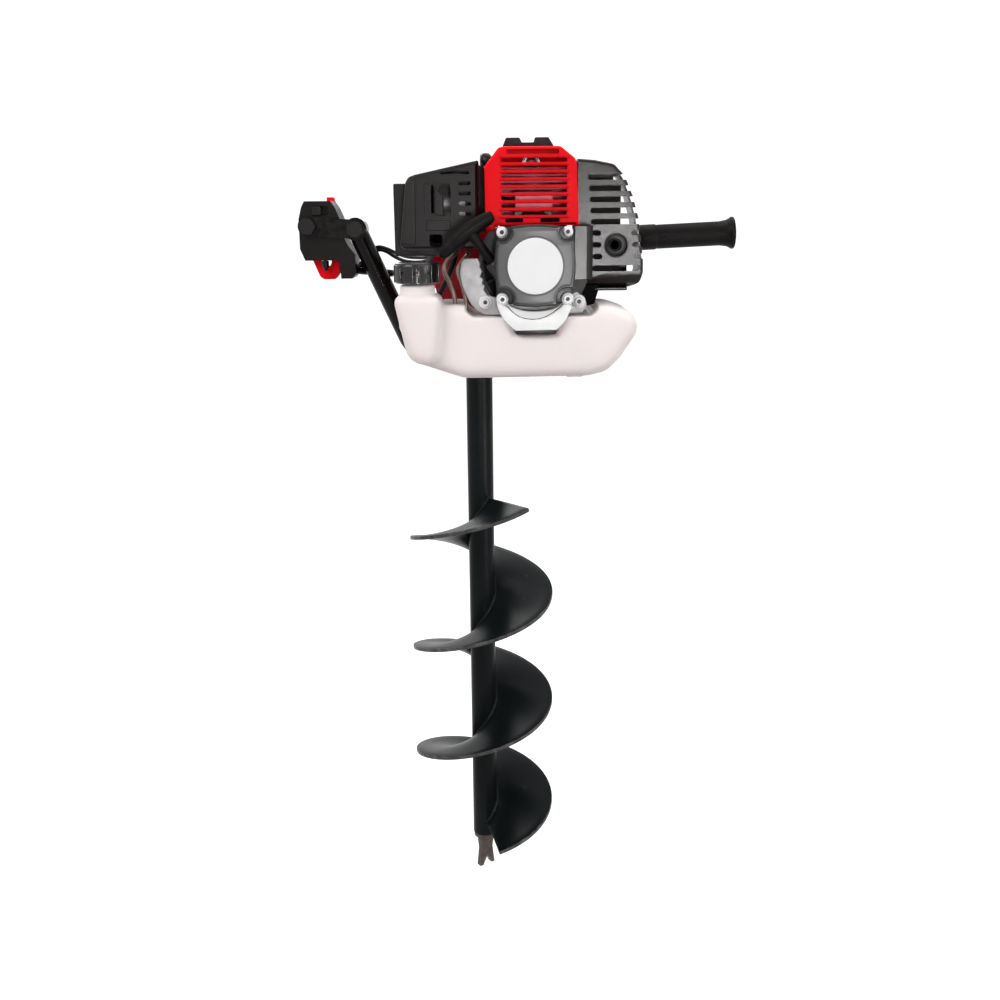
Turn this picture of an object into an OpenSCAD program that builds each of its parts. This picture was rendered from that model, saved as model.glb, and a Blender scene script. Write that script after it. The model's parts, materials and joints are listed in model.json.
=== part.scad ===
// Petrol earth auger: bit, worm gearbox, two-stroke engine, fuel tank and handles.
// Origin on the bit axis at the lowest level of the pilot, +Z up, +X towards the
// right-hand grip. The recoil starter faces -Y. Millimetres.

/* [Drill bit] */
// Outside diameter of the bit tube
bit_tube_d = 33.7; // [30:0.1:36]
// Wall of the bit tube
bit_tube_wall = 3.2; // [2.5:0.1:4]
// Outside diameter of the flight
flight_d = 189; // [150:1:220]
// Rise of the flight in one turn
flight_pitch = 153; // [120:1:160]
// Thickness of the flight plate
flight_t = 5; // [3:0.5:8]
// Turns of the flight
flight_turns = 3.08; // [2:0.01:3.4]
// Height of the lower end of the flight
flight_z = 72; // [65:1:90]
// Direction of the lower end of the flight, seen from above
flight_a = 282; // [0:1:359]
// Height of the lower end of the bit tube
bit_tube_z = 53; // [48:1:60]
// Width across the fishtail pilot
pilot_w = 24; // [20:1:30]
// Thickness of the fishtail pilot
pilot_t = 8; // [6:0.5:12]
// Diameter of the bolt that holds the bit on the output shaft
coupling_d = 8; // [6:1:10]

/* [Gearbox] */
// Height of the crank and worm axis above the pilot
axis_z = 850; // [840:1:870]
// Module of the worm gear
gear_m = 2.5; // [2:0.1:2.8]
// Teeth of the worm wheel
wheel_teeth = 40; // [34:1:44]
// Pitch radius of the worm
worm_r = 14; // [13:0.5:16]
// Face width of the worm wheel
wheel_face = 14; // [10:1:18]
// Length of the gearbox along the worm
gear_len = 124; // [116:2:140]
// Wall of the gearbox casting
gear_wall = 6.5; // [5:0.5:9]
// Diameter of the output shaft
shaft_d = 25; // [22:1:26]
// Length of the gearbox neck below the wheel chamber
neck_len = 75; // [70:1:80]

/* [Engine] */
// Bore of the cylinder
bore_d = 44; // [38:1:46]
// Stroke of the piston
stroke = 32; // [28:1:34]
// Centre distance of the connecting rod
rod_len = 52; // [48:1:54]
// Diameter of the crankshaft journals
journal_d = 16; // [14:1:18]
// Radius of the crankcase
case_r = 44; // [42:1:46]
// Length of one crankcase half
case_half = 33; // [31:1:36]
// Depth of the clutch housing
clutch_len = 37; // [34:1:42]
// Outside radius of the clutch drum
drum_r = 38.5; // [36:0.5:40]
// Width of the cooling fins
fin_w = 76; // [68:1:80]
// Spacing of the cooling fins
fin_pitch = 7; // [6:0.5:9]
// Radius of the flywheel fan
fan_r = 54; // [50:0.5:55]
// Depth of the fan chamber
fan_len = 23; // [21:1:26]
// Vanes on the flywheel
fan_vanes = 18; // [12:1:24]

/* [Starter] */
// Width of the starter cover
starter_w = 80; // [78:1:84]
// Depth of the starter cover
starter_len = 35; // [32:1:40]
// Distance between neighbouring starter screws
starter_bolts = 68.7; // [67:0.1:71]
// Radius of the flat round panel on the starter
panel_r = 29.5; // [24:0.5:31]
// Radius of the rope pulley
pulley_r = 28; // [25:0.5:30]
// Diameter of the starter rope
rope_d = 4; // [3:0.5:5]
// Length of the crossbar of the pull handle
pull_bar_len = 66; // [55:1:75]
// Thickness of the crossbar of the pull handle
pull_bar_d = 15; // [12:0.5:17]

/* [Covers] */
// Wall of the moulded covers
cover_wall = 2.5; // [2:0.1:3.5]
// Gap between the top fin and the top of the cylinder cover
cover_gap = 20; // [16:1:24]
// Slots in the front of the cylinder cover
cover_slots = 9; // [5:1:9]
// Height of one slot in the cylinder cover
cover_slot_h = 4.2; // [3:0.1:5]
// Height of one slot in the muffler guard
guard_slot_h = 5.6; // [4:0.1:7]
// Radius of the exhaust opening in the muffler guard
exhaust_hole_r = 13; // [11:0.5:15]
// Outside radius of the exhaust outlet
exhaust_r = 6.5; // [5:0.5:8]

/* [Fuel tank] */
// Wall of the tank
tank_wall = 3; // [2:0.5:4]
// Depth of the tank from front to back
tank_len = 114; // [100:1:115]
// Radius of the fuel cap
fuel_cap_r = 24.5; // [22:0.5:26]
// Height of the fuel cap
fuel_cap_h = 25; // [20:1:30]
// Outside radius of the filler neck
neck_r = 19.5; // [17:0.5:20]
// Outside diameter of the fuel hoses
hose_d = 5; // [4:0.5:6]

/* [Handles] */
// Outside diameter of the handle tubes
frame_d = 25.4; // [22:0.1:27]
// Wall of the handle tubes
frame_wall = 2; // [1.5:0.1:3]
// Centre-line radius of the tube bends
bend_r = 45; // [40:1:55]
// Distance of the handle tubes behind the bit axis
frame_y = 50; // [49:1:54]
// Distance of the handle tubes below the worm axis
frame_drop = 128; // [124:1:132]
// Outside diameter of the right grip
grip_d = 32; // [30:1:36]
// Outside diameter of the flange at the end of the right grip
grip_flange_d = 40; // [36:1:48]
// Thickness of the flat handle plate
plate_t = 6; // [4:0.5:8]
// Height of the flat handle plate
plate_h = 25; // [22:1:30]
// Diameter of the core of the left grip
core_d = 16; // [14:0.5:18]
// Outside diameter of the left grip
left_grip_d = 34; // [30:1:36]
// Length of the left grip
left_grip_len = 84; // [75:1:110]

/* [Throttle] */
// Depth of each shell of the throttle housing
shell_len = 25; // [23:1:30]
// Width of the throttle trigger
trigger_w = 34; // [28:1:35]
// Height of the throttle trigger below its pin
trigger_drop = 40; // [34:1:44]
// Travel of the lock button
lock_travel = 4; // [2:0.5:5]
// Travel of the stop switch
switch_travel = 8; // [5:0.5:9]

/* [Fits] */
// Radial clearance of running and sliding fits
fit = 0.05; // [0.02:0.01:0.1]
// Gap between neighbouring pieces that only sit together
seat = 0.3; // [0.1:0.05:0.5]

/* [Hidden] */
$fn = 48;

// Axes and stations along the crank
wheel_r = gear_m * wheel_teeth / 2;
axis_x = wheel_r + worm_r;
gear_y = -gear_len / 2;
clutch_y = gear_y - clutch_len;
cyl_y = clutch_y - case_half;
case_y = cyl_y - case_half;
case_boss = 9;
fan_back_y = case_y - case_boss;
fan_plate = 3;
fan_y = fan_back_y - fan_plate - fan_len;
fan_flange = 3;
starter_y = fan_y - fan_flange;
starter_face_y = starter_y - starter_len;
ear_len = 19;
ear_y = starter_y - ear_len;
ear_notch = 8;
bracket_t = 6;

// Bit
bit_r = bit_tube_d / 2;
bit_bore_r = bit_r - bit_tube_wall;
flight_steps = 36;
flight_gap = 0.1;
nut_h = coupling_d * 0.8;

// Gearbox
wheel_tip = wheel_r + gear_m;
chamber_r = wheel_tip + 3;
gear_r = chamber_r + gear_wall;
chamber_z = axis_z - 27;
rim_z = axis_z + 30;
neck_z = chamber_z - 8 - neck_len;
neck_out_r = 31;
shaft_r = shaft_d / 2;
bearing_r = 26;
bearing_h = 12;
seal_h = 8;
shoulder_z = chamber_z + 3;
shaft_top = rim_z - 0.5;
spigot_len = 70;
bit_top_gap = 8;
bit_tube_top = neck_z - bit_top_gap;
coupling_z = bit_tube_top - 16;
worm_bore_r = worm_r + gear_m + 2;
tunnel_r = worm_bore_r + gear_wall;
worm_shaft_r = 8;
lead = PI * gear_m;
tooth_w = 2.6;
worm_half = 36;
clutch_r = drum_r + 2.5;
clutch_out_r = clutch_r + 5;
gear_cover_t = 6;
gear_bolt_r = 3;
frame_z = axis_z - frame_drop;
frame_r = frame_d / 2;
clamp_x = 46;
clamp_half_y = 24;
clamp_h = 18;
clamp_bolt_x = 36;
clamp_sink = 4;
clamp_bolt_y = frame_r + 5;

// Engine
journal_r = journal_d / 2;
web_r = 33;
web_t = 10;
web_gap = 12;
crank_room = 1.5;
crank_bearing_r = 17;
crank_bearing_w = 11;
deck_z = axis_z + 46;
tdc_z = axis_z + stroke / 2 + rod_len;
crown = 17;
skirt = 14;
head_z = tdc_z + crown + 2;
bore_r = bore_d / 2;
liner = 5;
fin_t = 2;
fin_count = 7;
fin_z = deck_z + 11;
fin_top = fin_z + fin_pitch * (fin_count - 1) + fin_t;
port_z = deck_z + 19;
plug_tilt = 25;
plug_z = head_z + 3;
intake_x = axis_x - fin_w / 2 - 1;
exhaust_x = axis_x + fin_w / 2 + 1.7;
carb_x = intake_x - 14;
carb_w = 45;
carb_half_y = 20;
carb_z0 = port_z - 20;
carb_z1 = port_z + 20;
lever_x = carb_x - 20;
lever_z = port_z + 10;
lever_pin_r = 2.5;
lever_len = 22;
lever_tilt = -25;
bulb_x = carb_x - 22;
bulb_r = 8;
filter_x = carb_x - carb_w - seat;

// Starter
post = starter_bolts / 2;
pull_y = starter_y - 12;
pull_tilt = atan2(0.6, 0.8);
pull_root = [axis_x - starter_w / 2 - 5, pull_y, axis_z + 4];
stem_len = 38;
rope_guide_r = 7;
spring_post_r = 6;
starter_cavity_r = pulley_r + 5;

// Covers
cover_y = starter_y - 3;
cover_rear_y = clutch_y + 4;
cover_foot = axis_z + 43;
cover_top = fin_top + cover_gap;
top_slot_z = cover_top - 16;
slot_pitch = (top_slot_z - cover_foot - 5.2) / (cover_slots - 1);
guard_y = fan_back_y + seat;
skirt_x0 = axis_x + starter_w / 2 + 3;
skirt_x1 = axis_x + fan_r + 9;
skirt_y = starter_y - seat - cover_wall;
guard_rear_y = clutch_y + 6;
guard_slot_step = 12.7;
muffler_y0 = case_y + 5;
muffler_y1 = clutch_y + 1;
muffler_x0 = exhaust_x + seat;
muffler_x1 = muffler_x0 + 56;
muffler_body_x = axis_x + case_r + 3;
muffler_z0 = axis_z - 12;
muffler_wall = 2;
port_r = 9;
muffler_z1 = deck_z + 40;
exhaust_x1 = 153;
exhaust_z = axis_z + 19;
filter_cover_y = case_y - 10;
filter_split_y = cyl_y - 18;
filter_rear_y = clutch_y + 9;

// Fuel tank
tank_front_y = ear_y;
tank_back_y = tank_front_y + tank_len;
saddle_z = axis_z - 72;
shelf_z = axis_z - 54;
foot_x0 = axis_x - 20;
foot_x1 = axis_x + 22;
tank_top = axis_z - 48;
cap_x = -61;
cap_y = tank_front_y + 10;
neck_top = axis_z - 19;
column_front = 14;
hose_gap = 0.5;

// Handles
tube_top = [-155.5, frame_y, axis_z + 35];
boss_r = 14.5;
plate_y1 = frame_y - frame_r - seat;
plate_y0 = plate_y1 - plate_t;
core_x = -215;
core_z = axis_z + 39;
core_r = core_d / 2;
shell_foot = core_z - 42.5;
shell_y0 = plate_y1 + seat;
shell_y1 = shell_y0 + shell_len;
shell_y2 = shell_y1 + shell_len;
core_end = shell_y2 + left_grip_len;
trigger_x = -196;
trigger_y = shell_y0 + 17;
trigger_z = axis_z + 12;
trigger_pin_r = 2.5;
grip_start = 206;
grip_collar = 22;
grip_flare = 18;
grip_lip = 6;
grip_end = 328;
bend_x = 78;
right_bend = [bend_x, frame_y, frame_z];
right_knee = [146, frame_y, axis_z + 18.4];
right_end = [grip_end - 4, frame_y, axis_z + 26];
left_bend = [-bend_x - 4, frame_y, frame_z];

// Routes of the hoses, the throttle cable and the ignition lead
feed_route = [[-22, -190, 757], [-22, -190, 780], [-22, -190, 812], [-26, -190, 828], [-33, -186, 844],
    [-30, -170, 854], [-22, -153, 860], [-18, -142, 872], [-18, -139.5, 884], [-18, -139.5, 894.4]];
return_route = [[-10, -192, 790], [-10, -192, 812], [-13, -192, 828], [-18, -186, 844], [-13, -168, 854],
    [-8, -152, 860], [-6, -144, 872], [-6, -141.5, 884], [-6, -141.5, 894.4]];
cable_route = [[-156.6, 62, 832], [-150, 62, 832], [-142, 64, 831], [-130, 70, 832], [-114, 62, 842],
    [-102, 40, 854], [-94, 8, 863], [-90, -30, 866], [-80, -58, 866], [-62, -74, 870], [-44, -78, 878],
    [-31, -80, 888], [-24, -86, 895], [-23, -92, 897], [-23, -98.6, 897]];
lead_route = [[64, -69.2, 969.4], [64, -64, 971.8], [59, -58, 975], [44, -56, 976], [22, -66, 972],
    [8, -88, 968], [5, -116, 966], [8, -138, 964], [16, -150, 957], [21, -162, 946], [24, -174, 932],
    [29, -181, 922], [36, -184, 917], [43.6, -184, 916]];
lead_d = 4.6;
cable_d = 5;

// Shapes that repeat

// Box between two corners
module block(a, b) {
    translate(a) cube(b - a);
}

// Cylinder along Y between two stations
module rod_y(r, y0, y1, x = axis_x, z = axis_z) {
    translate([x, y0, z]) rotate([-90, 0, 0]) cylinder(r = r, h = y1 - y0);
}

// Cylinder along X between two stations
module rod_x(r, x0, x1, y, z) {
    translate([x0, y, z]) rotate([0, 90, 0]) cylinder(r = r, h = x1 - x0);
}

// Cylinder along Z between two heights
module rod_z(r, z0, z1, x = 0, y = 0) {
    translate([x, y, z0]) cylinder(r = r, h = z1 - z0);
}

// Ring along Y
module ring_y(r_out, r_in, y0, y1, x = axis_x, z = axis_z) {
    difference() {
        rod_y(r_out, y0, y1, x, z);
        rod_y(r_in, y0 - 1, y1 + 1, x, z);
    }
}

// Ring along Z
module ring_z(r_out, r_in, z0, z1, x = 0, y = 0) {
    difference() {
        rod_z(r_out, z0, z1, x, y);
        rod_z(r_in, z0 - 1, z1 + 1, x, y);
    }
}

// Front-view outline in X and Z, given depth along Y
module slab_y(y0, y1) {
    translate([0, y1, 0]) rotate([90, 0, 0]) linear_extrude(y1 - y0) children();
}

// Hex-headed bolt along -Z from its seat, with the shank above the head
module bolt(shank_r, shank_len, head_r, head_h) {
    cylinder(r = shank_r, h = shank_len);
    translate([0, 0, -head_h]) cylinder(r = head_r, h = head_h, $fn = 6);
}

// Unit vector
function unit(v) = v / norm(v);

// Points along a line with round bends at its inner corners
function bend_turn(a, b, c) = acos(unit(b - a) * unit(c - b));
function bend_points(a, b, c, steps = 10) = let(
        u = unit(b - a),
        w = unit(c - b),
        turn = bend_turn(a, b, c),
        start = b - u * bend_r * tan(turn / 2),
        inward = unit(w - u * (w * u)))
    [for (i = [0 : steps]) let(t = turn * i / steps) start + bend_r * (sin(t) * u + (1 - cos(t)) * inward)];
function bent_line(p) = concat([p[0]],
    [for (i = [1 : len(p) - 2]) each bend_points(p[i - 1], p[i], p[i + 1])], [p[len(p) - 1]]);

// Smooth curve through the points of a route, two steps per span
function curve_at(p, i, t) = let(
        n = len(p) - 1,
        a = p[max(i - 1, 0)], b = p[i], c = p[min(i + 1, n)], d = p[min(i + 2, n)])
    0.5 * (2 * b + (c - a) * t + (2 * a - 5 * b + 4 * c - d) * t * t + (3 * b - a - 3 * c + d) * t * t * t);
function smooth(p) = concat([for (i = [0 : len(p) - 2], t = [0, 0.5]) curve_at(p, i, t)], [p[len(p) - 1]]);
function heading(p, i) = unit(p[min(i + 1, len(p) - 1)] - p[max(i - 1, 0)]);
function carried(v, t) = unit(v - t * (v * t));
function frames(p, i = 0, v = [0.31, 0.87, 0.38]) =
    i == len(p) ? [] : let(s = carried(v, heading(p, i))) concat([s], frames(p, i + 1, s));

// Round bar along the points of a line
module sweep(p, d, sides) {
    s = frames(p);
    n = len(p);
    rings = [for (i = [0 : n - 1], k = [0 : sides - 1]) let(a = 360 * k / sides)
        p[i] + d / 2 * (cos(a) * s[i] + sin(a) * cross(heading(p, i), s[i]))];
    walls = [for (i = [0 : n - 2], k = [0 : sides - 1]) let(
            a = i * sides + k, b = i * sides + (k + 1) % sides)
        each [[a, a + sides, b], [b, a + sides, b + sides]]];
    start_cap = [for (k = [1 : sides - 2]) [0, k, k + 1]];
    end = (n - 1) * sides;
    end_cap = [for (k = [1 : sides - 2]) [end, end + k + 1, end + k]];
    polyhedron(points = rings, faces = concat(start_cap, walls, end_cap));
}

// Round cord along a route
module cord(route, d) {
    sweep(smooth(route), d, 8);
}

// Bent handle tube
module bent_rod(p, r) {
    sweep(bent_line(p), 2 * r, 28);
}

// Drill bit

module auger_tube() {
    color("#15181a") difference() {
        rod_z(bit_r, bit_tube_z, bit_tube_top);
        rod_z(bit_bore_r, bit_tube_z - 1, bit_tube_top + 1);
        rod_y(coupling_d / 2 + fit, -bit_r - 1, bit_r + 1, 0, coupling_z);
    }
}

module auger_flight() {
    steps = round(flight_turns * flight_steps);
    inner = (bit_r + flight_gap) / cos(180 / flight_steps);
    outer = flight_d / 2;
    pts = [for (i = [0 : steps]) let(
            a = flight_a + 360 * flight_turns * i / steps,
            z = flight_z + flight_pitch * flight_turns * i / steps - flight_t / 2)
        each [
            [inner * cos(a), inner * sin(a), z],
            [outer * cos(a), outer * sin(a), z],
            [outer * cos(a), outer * sin(a), z + flight_t],
            [inner * cos(a), inner * sin(a), z + flight_t]]];
    sides = [for (i = [0 : steps - 1], k = [0 : 3]) let(a = 4 * i + k, b = 4 * i + (k + 1) % 4)
        each [[a, b, a + 4], [b, b + 4, a + 4]]];
    end = 4 * steps;
    caps = [[0, 3, 2], [0, 2, 1], [end, end + 1, end + 2], [end, end + 2, end + 3]];
    color("#1b1f21") polyhedron(points = pts, faces = concat(sides, caps));
}

module pilot_point() {
    w = pilot_w / 2;
    color("#4a3a32") {
        rotate([0, 0, 35]) slab_y(-pilot_t / 2, pilot_t / 2)
            polygon([[-w, 0], [-w + 5, 0], [0, 14], [w - 5, 0], [w, 0], [w - 3, 26], [w, bit_tube_z - 4],
                [-w, bit_tube_z - 4], [-w + 3, 26]]);
        rod_z(bit_r - 1, bit_tube_z - 6, bit_tube_z);
        rod_z(bit_bore_r - fit, bit_tube_z - 6, bit_tube_z + 32);
    }
}

module coupling_bolt() {
    color("#8d9093") {
        translate([0, -bit_r - seat, coupling_z]) rotate([-90, 0, 0])
            bolt(coupling_d / 2, 2 * bit_r + 2 * seat + nut_h, coupling_d * 0.85, coupling_d * 0.65);
        difference() {
            translate([0, bit_r + seat, coupling_z]) rotate([-90, 0, 0])
                cylinder(r = coupling_d * 0.85, h = nut_h, $fn = 6);
            rod_y(coupling_d / 2 + fit, bit_r, bit_r + 2 * nut_h, 0, coupling_z);
        }
    }
}

// Gearbox

module output_shaft() {
    color("#9a9da0") difference() {
        union() {
            rod_z(bit_bore_r - fit, neck_z - spigot_len, neck_z);
            rod_z(shaft_r, neck_z, shaft_top);
            rod_z(shaft_r + 1, neck_z + seal_h + bearing_h + 6, shoulder_z);
        }
        rod_y(coupling_d / 2 + fit, -bit_r, bit_r, 0, coupling_z);
    }
}

module worm_wheel() {
    root = wheel_r - gear_m * 1.2;
    half = tooth_w / 2;
    color("#b08a4a") difference() {
        union() {
            rod_z(root, axis_z - wheel_face / 2, axis_z + wheel_face / 2);
            rod_z(shaft_r + 8, shoulder_z, rim_z - bearing_h - seat);
            for (i = [0 : wheel_teeth - 1]) rotate([0, 0, 360 * i / wheel_teeth])
                translate([0, 0, axis_z - wheel_face / 2]) linear_extrude(wheel_face)
                    polygon([[root - 1, -half - 0.6], [wheel_tip, -half + 0.7], [wheel_tip, half - 0.7],
                        [root - 1, half + 0.6]]);
        }
        rod_z(shaft_r + fit, shoulder_z - 1, rim_z);
        for (i = [0 : 5]) rotate([0, 0, 60 * i + 30])
            rod_z(6, axis_z - wheel_face, axis_z + wheel_face, (shaft_r + 8 + root) / 2, 0);
    }
}

// Worm with a right-handed thread, its ridge half a pitch from the wheel's middle tooth
module worm_shaft() {
    turns = 2 * worm_half / lead;
    per_turn = 20;
    steps = round(turns * per_turn);
    base = worm_r - gear_m * 1.2;
    inner = (base + fit) / cos(180 / per_turn);
    tip = worm_r + gear_m * 0.9;
    foot = tooth_w / 2 + 0.5;
    crest = tooth_w / 2 - 0.6;
    pts = [for (i = [0 : steps]) let(
            a = 180 + 360 * i / per_turn,
            y = lead * (0.5 - ceil(worm_half / lead) + i / per_turn))
        each [for (q = [[inner, -foot], [tip, -crest], [tip, crest], [inner, foot]])
            [axis_x + q[0] * cos(a), y + q[1], axis_z - q[0] * sin(a)]]];
    sides = [for (i = [0 : steps - 1], k = [0 : 3]) let(a = 4 * i + k, b = 4 * i + (k + 1) % 4)
        each [[a, b, a + 4], [b, b + 4, a + 4]]];
    end = 4 * steps;
    caps = [[0, 3, 2], [0, 2, 1], [end, end + 1, end + 2], [end, end + 2, end + 3]];
    color("#a5a8ab") {
        rod_y(worm_shaft_r, gear_y - 10, -gear_y - 10);
        rod_y(base, -worm_half - 6, worm_half + 3);
        polyhedron(points = pts, faces = concat(sides, caps));
    }
}

module gearbox_body() {
    color("#c8161d") difference() {
        union() {
            rod_z(gear_r, chamber_z - 8, rim_z);
            rod_y(tunnel_r, gear_y, -gear_y);
            rod_y(clutch_out_r, gear_y, gear_y + gear_wall);
            rod_z(neck_out_r, neck_z, chamber_z);
            block([-clamp_x, -neck_out_r - 3, neck_z], [clamp_x, frame_y + clamp_half_y, neck_z + 10]);
            block([-clamp_x, frame_y - clamp_half_y, frame_z + seat],
                [clamp_x, frame_y + clamp_half_y, neck_z]);
            for (s = [-1, 1])
                block([s * 20 - 4, -neck_out_r - 3, neck_z + 10], [s * 20 + 4, 40, chamber_z - 8]);
        }
        rod_z(chamber_r, chamber_z, rim_z + 1);
        rod_y(worm_bore_r, gear_y - 1, -gear_y - gear_wall);
        rod_z(bearing_r + fit, neck_z - 1, neck_z + seal_h + bearing_h);
        rod_z(shaft_r + 2, neck_z, chamber_z + 1);
        rod_x(frame_r + fit, -clamp_x - 1, clamp_x + 1, frame_y, frame_z);
        for (x = [-clamp_bolt_x, clamp_bolt_x], y = [-clamp_bolt_y, clamp_bolt_y])
            rod_z(gear_bolt_r + fit, frame_z, neck_z + 11, x, frame_y + y);
        for (i = [0 : 5]) rotate([0, 0, 60 * i + 100])
            rod_z(gear_bolt_r + fit, rim_z - 14, rim_z + 1, chamber_r + gear_wall / 2 + 0.1, 0);
    }
}

module gearbox_cover() {
    color("#c8161d") difference() {
        union() {
            rod_z(gear_r, rim_z, rim_z + gear_cover_t);
            rod_z(bearing_r + 5, rim_z - bearing_h, rim_z);
            rod_z(bearing_r, rim_z, rim_z + gear_cover_t + 4);
        }
        rod_z(bearing_r + fit, rim_z - bearing_h - 1, rim_z);
        for (i = [0 : 5]) rotate([0, 0, 60 * i + 100])
            rod_z(gear_bolt_r + fit, rim_z - 1, rim_z + gear_cover_t + 1, chamber_r + gear_wall / 2 + 0.1, 0);
    }
}

module gearbox_bolts() {
    color("#3a3c3e") {
        for (i = [0 : 5]) rotate([0, 0, 60 * i + 100])
            translate([chamber_r + gear_wall / 2 + 0.1, 0, rim_z + gear_cover_t])
                rotate([180, 0, 0]) bolt(gear_bolt_r, gear_cover_t + 10, gear_bolt_r * 1.6, 4);
        for (x = [-clamp_bolt_x, clamp_bolt_x], y = [-clamp_bolt_y, clamp_bolt_y])
            translate([x, frame_y + y, frame_z - clamp_h + clamp_sink])
                bolt(gear_bolt_r, clamp_h - clamp_sink + 26, gear_bolt_r * 1.6, clamp_sink);
    }
}

module bearings() {
    color("#b9bcbf") {
        ring_z(bearing_r, shaft_r + fit, neck_z + seal_h, neck_z + seal_h + bearing_h);
        ring_z(bearing_r, shaft_r + fit, rim_z - bearing_h, rim_z);
        for (y = [gear_y + 2, -gear_y - gear_wall - bearing_h])
            ring_y(worm_bore_r - fit, worm_shaft_r + fit, y, y + bearing_h);
        for (s = [-1, 1]) {
            y = cyl_y + s * (case_half - 9);
            ring_y(crank_bearing_r, journal_r + fit, y - crank_bearing_w / 2, y + crank_bearing_w / 2);
        }
    }
}

module shaft_seal() {
    color("#202020") ring_z(bearing_r, shaft_r + fit, neck_z + 0.5, neck_z + seal_h - fit);
}

module frame_clamp() {
    color("#191b1c") difference() {
        block([-clamp_x, frame_y - clamp_half_y, frame_z - clamp_h],
            [clamp_x, frame_y + clamp_half_y, frame_z - seat]);
        rod_x(frame_r + fit, -clamp_x - 1, clamp_x + 1, frame_y, frame_z);
        for (x = [-clamp_bolt_x, clamp_bolt_x], y = [-clamp_bolt_y, clamp_bolt_y]) {
            rod_z(gear_bolt_r + fit, frame_z - clamp_h - 1, frame_z, x, frame_y + y);
            rod_z(gear_bolt_r * 1.6 + fit, frame_z - clamp_h - 1, frame_z - clamp_h + clamp_sink,
                x, frame_y + y);
        }
    }
}

// Handles

module left_handle_tube() {
    start = [-seat, frame_y, frame_z];
    color("#141516") difference() {
        union() {
            bent_rod([start, left_bend, tube_top], frame_r);
            rod_y(boss_r, frame_y - frame_r, frame_y + frame_r, tube_top[0], tube_top[2]);
        }
        bent_rod([start + [1, 0, 0], left_bend, tube_top - 17 * unit(tube_top - left_bend)],
            frame_r - frame_wall);
        rod_y(4 + fit, frame_y - boss_r - 1, frame_y + boss_r + 1, tube_top[0], tube_top[2]);
    }
}

module right_handle_tube() {
    start = [seat, frame_y, frame_z];
    run = unit(right_end - right_knee);
    color("#141516") difference() {
        bent_rod([start, right_bend, right_knee, right_end], frame_r);
        bent_rod([start - [1, 0, 0], right_bend, right_knee, right_end + run], frame_r - frame_wall);
    }
}

module right_grip() {
    tilt = atan2(right_end[2] - right_knee[2], right_end[0] - right_knee[0]);
    start = grip_start - right_knee[0];
    reach = grip_end - right_knee[0];
    flare = reach - grip_flare;
    color("#1a1a1b") translate(right_knee) rotate([0, -tilt, 0]) difference() {
        union() {
            rod_x(grip_d / 2 - 0.5, start, start + grip_collar + 1, 0, 0);
            rod_x(grip_d / 2, start + grip_collar, flare + 1, 0, 0);
            translate([flare, 0, 0]) rotate([0, 90, 0])
                cylinder(r1 = grip_d / 2, r2 = grip_flange_d / 2, h = grip_flare - grip_lip + 1);
            rod_x(grip_flange_d / 2, reach - grip_lip, reach, 0, 0);
        }
        rod_x(frame_r + fit, start - 1, norm(right_end - right_knee) + seat, 0, 0);
    }
}

module handle_plate() {
    color("#2b2d2f") difference() {
        slab_y(plate_y0, plate_y1) {
            translate([core_x, core_z]) circle(d = plate_h);
            translate([tube_top[0], tube_top[2]]) circle(d = plate_h);
            translate([core_x, core_z]) rotate(atan2(tube_top[2] - core_z, tube_top[0] - core_x))
                translate([0, 0.6 - plate_h / 2])
                square([norm([tube_top[0] - core_x, tube_top[2] - core_z]), plate_h - 1.2]);
        }
        rod_y(4 + fit, plate_y0 - 1, plate_y1 + 1, core_x, core_z);
        rod_y(4 + fit, plate_y0 - 1, plate_y1 + 1, tube_top[0], tube_top[2]);
    }
}

module handle_bolts() {
    color("#3b3d40") {
        translate([core_x, plate_y0, core_z]) rotate([-90, 0, 0]) bolt(4, plate_t + 24, 11, 8);
        translate([tube_top[0], plate_y0, tube_top[2]]) rotate([-90, 0, 0]) {
            cylinder(r = 4, h = plate_t + frame_d + 14);
            translate([0, 0, -3]) cylinder(r = 10, h = 3);
        }
        difference() {
            translate([tube_top[0], frame_y + frame_r, tube_top[2]]) rotate([-90, 0, 0])
                cylinder(r = 7.5, h = 7, $fn = 6);
            rod_y(4 + fit, frame_y, frame_y + frame_r + 10, tube_top[0], tube_top[2]);
        }
    }
}

module grip_core() {
    color("#4c4f52") difference() {
        rod_y(core_r, plate_y1, core_end - 4, core_x, core_z);
        rod_y(4 + fit, plate_y1 - 1, plate_y1 + 30, core_x, core_z);
    }
}

module left_grip() {
    color("#1a1a1b") difference() {
        union() {
            rod_y(left_grip_d / 2, shell_y2 + seat, core_end, core_x, core_z);
            rod_y(left_grip_d / 2 + 4, core_end - 6, core_end, core_x, core_z);
        }
        rod_y(core_r + fit, shell_y2, core_end - 4 + seat, core_x, core_z);
    }
}

// Front outline of the throttle housing around the grip core
module shell_outline() {
    translate([core_x, core_z]) polygon([[-12, -28], [-12, 9], [-8, 24], [-4, 31], [29, 31], [35, 22],
        [40, 10], [43, -5], [44, -14], [50, -25], [58, -36], [58, -60], [53, -65.5], [39, -65.5],
        [38, shell_foot - core_z], [-6, shell_foot - core_z]]);
}

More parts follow.
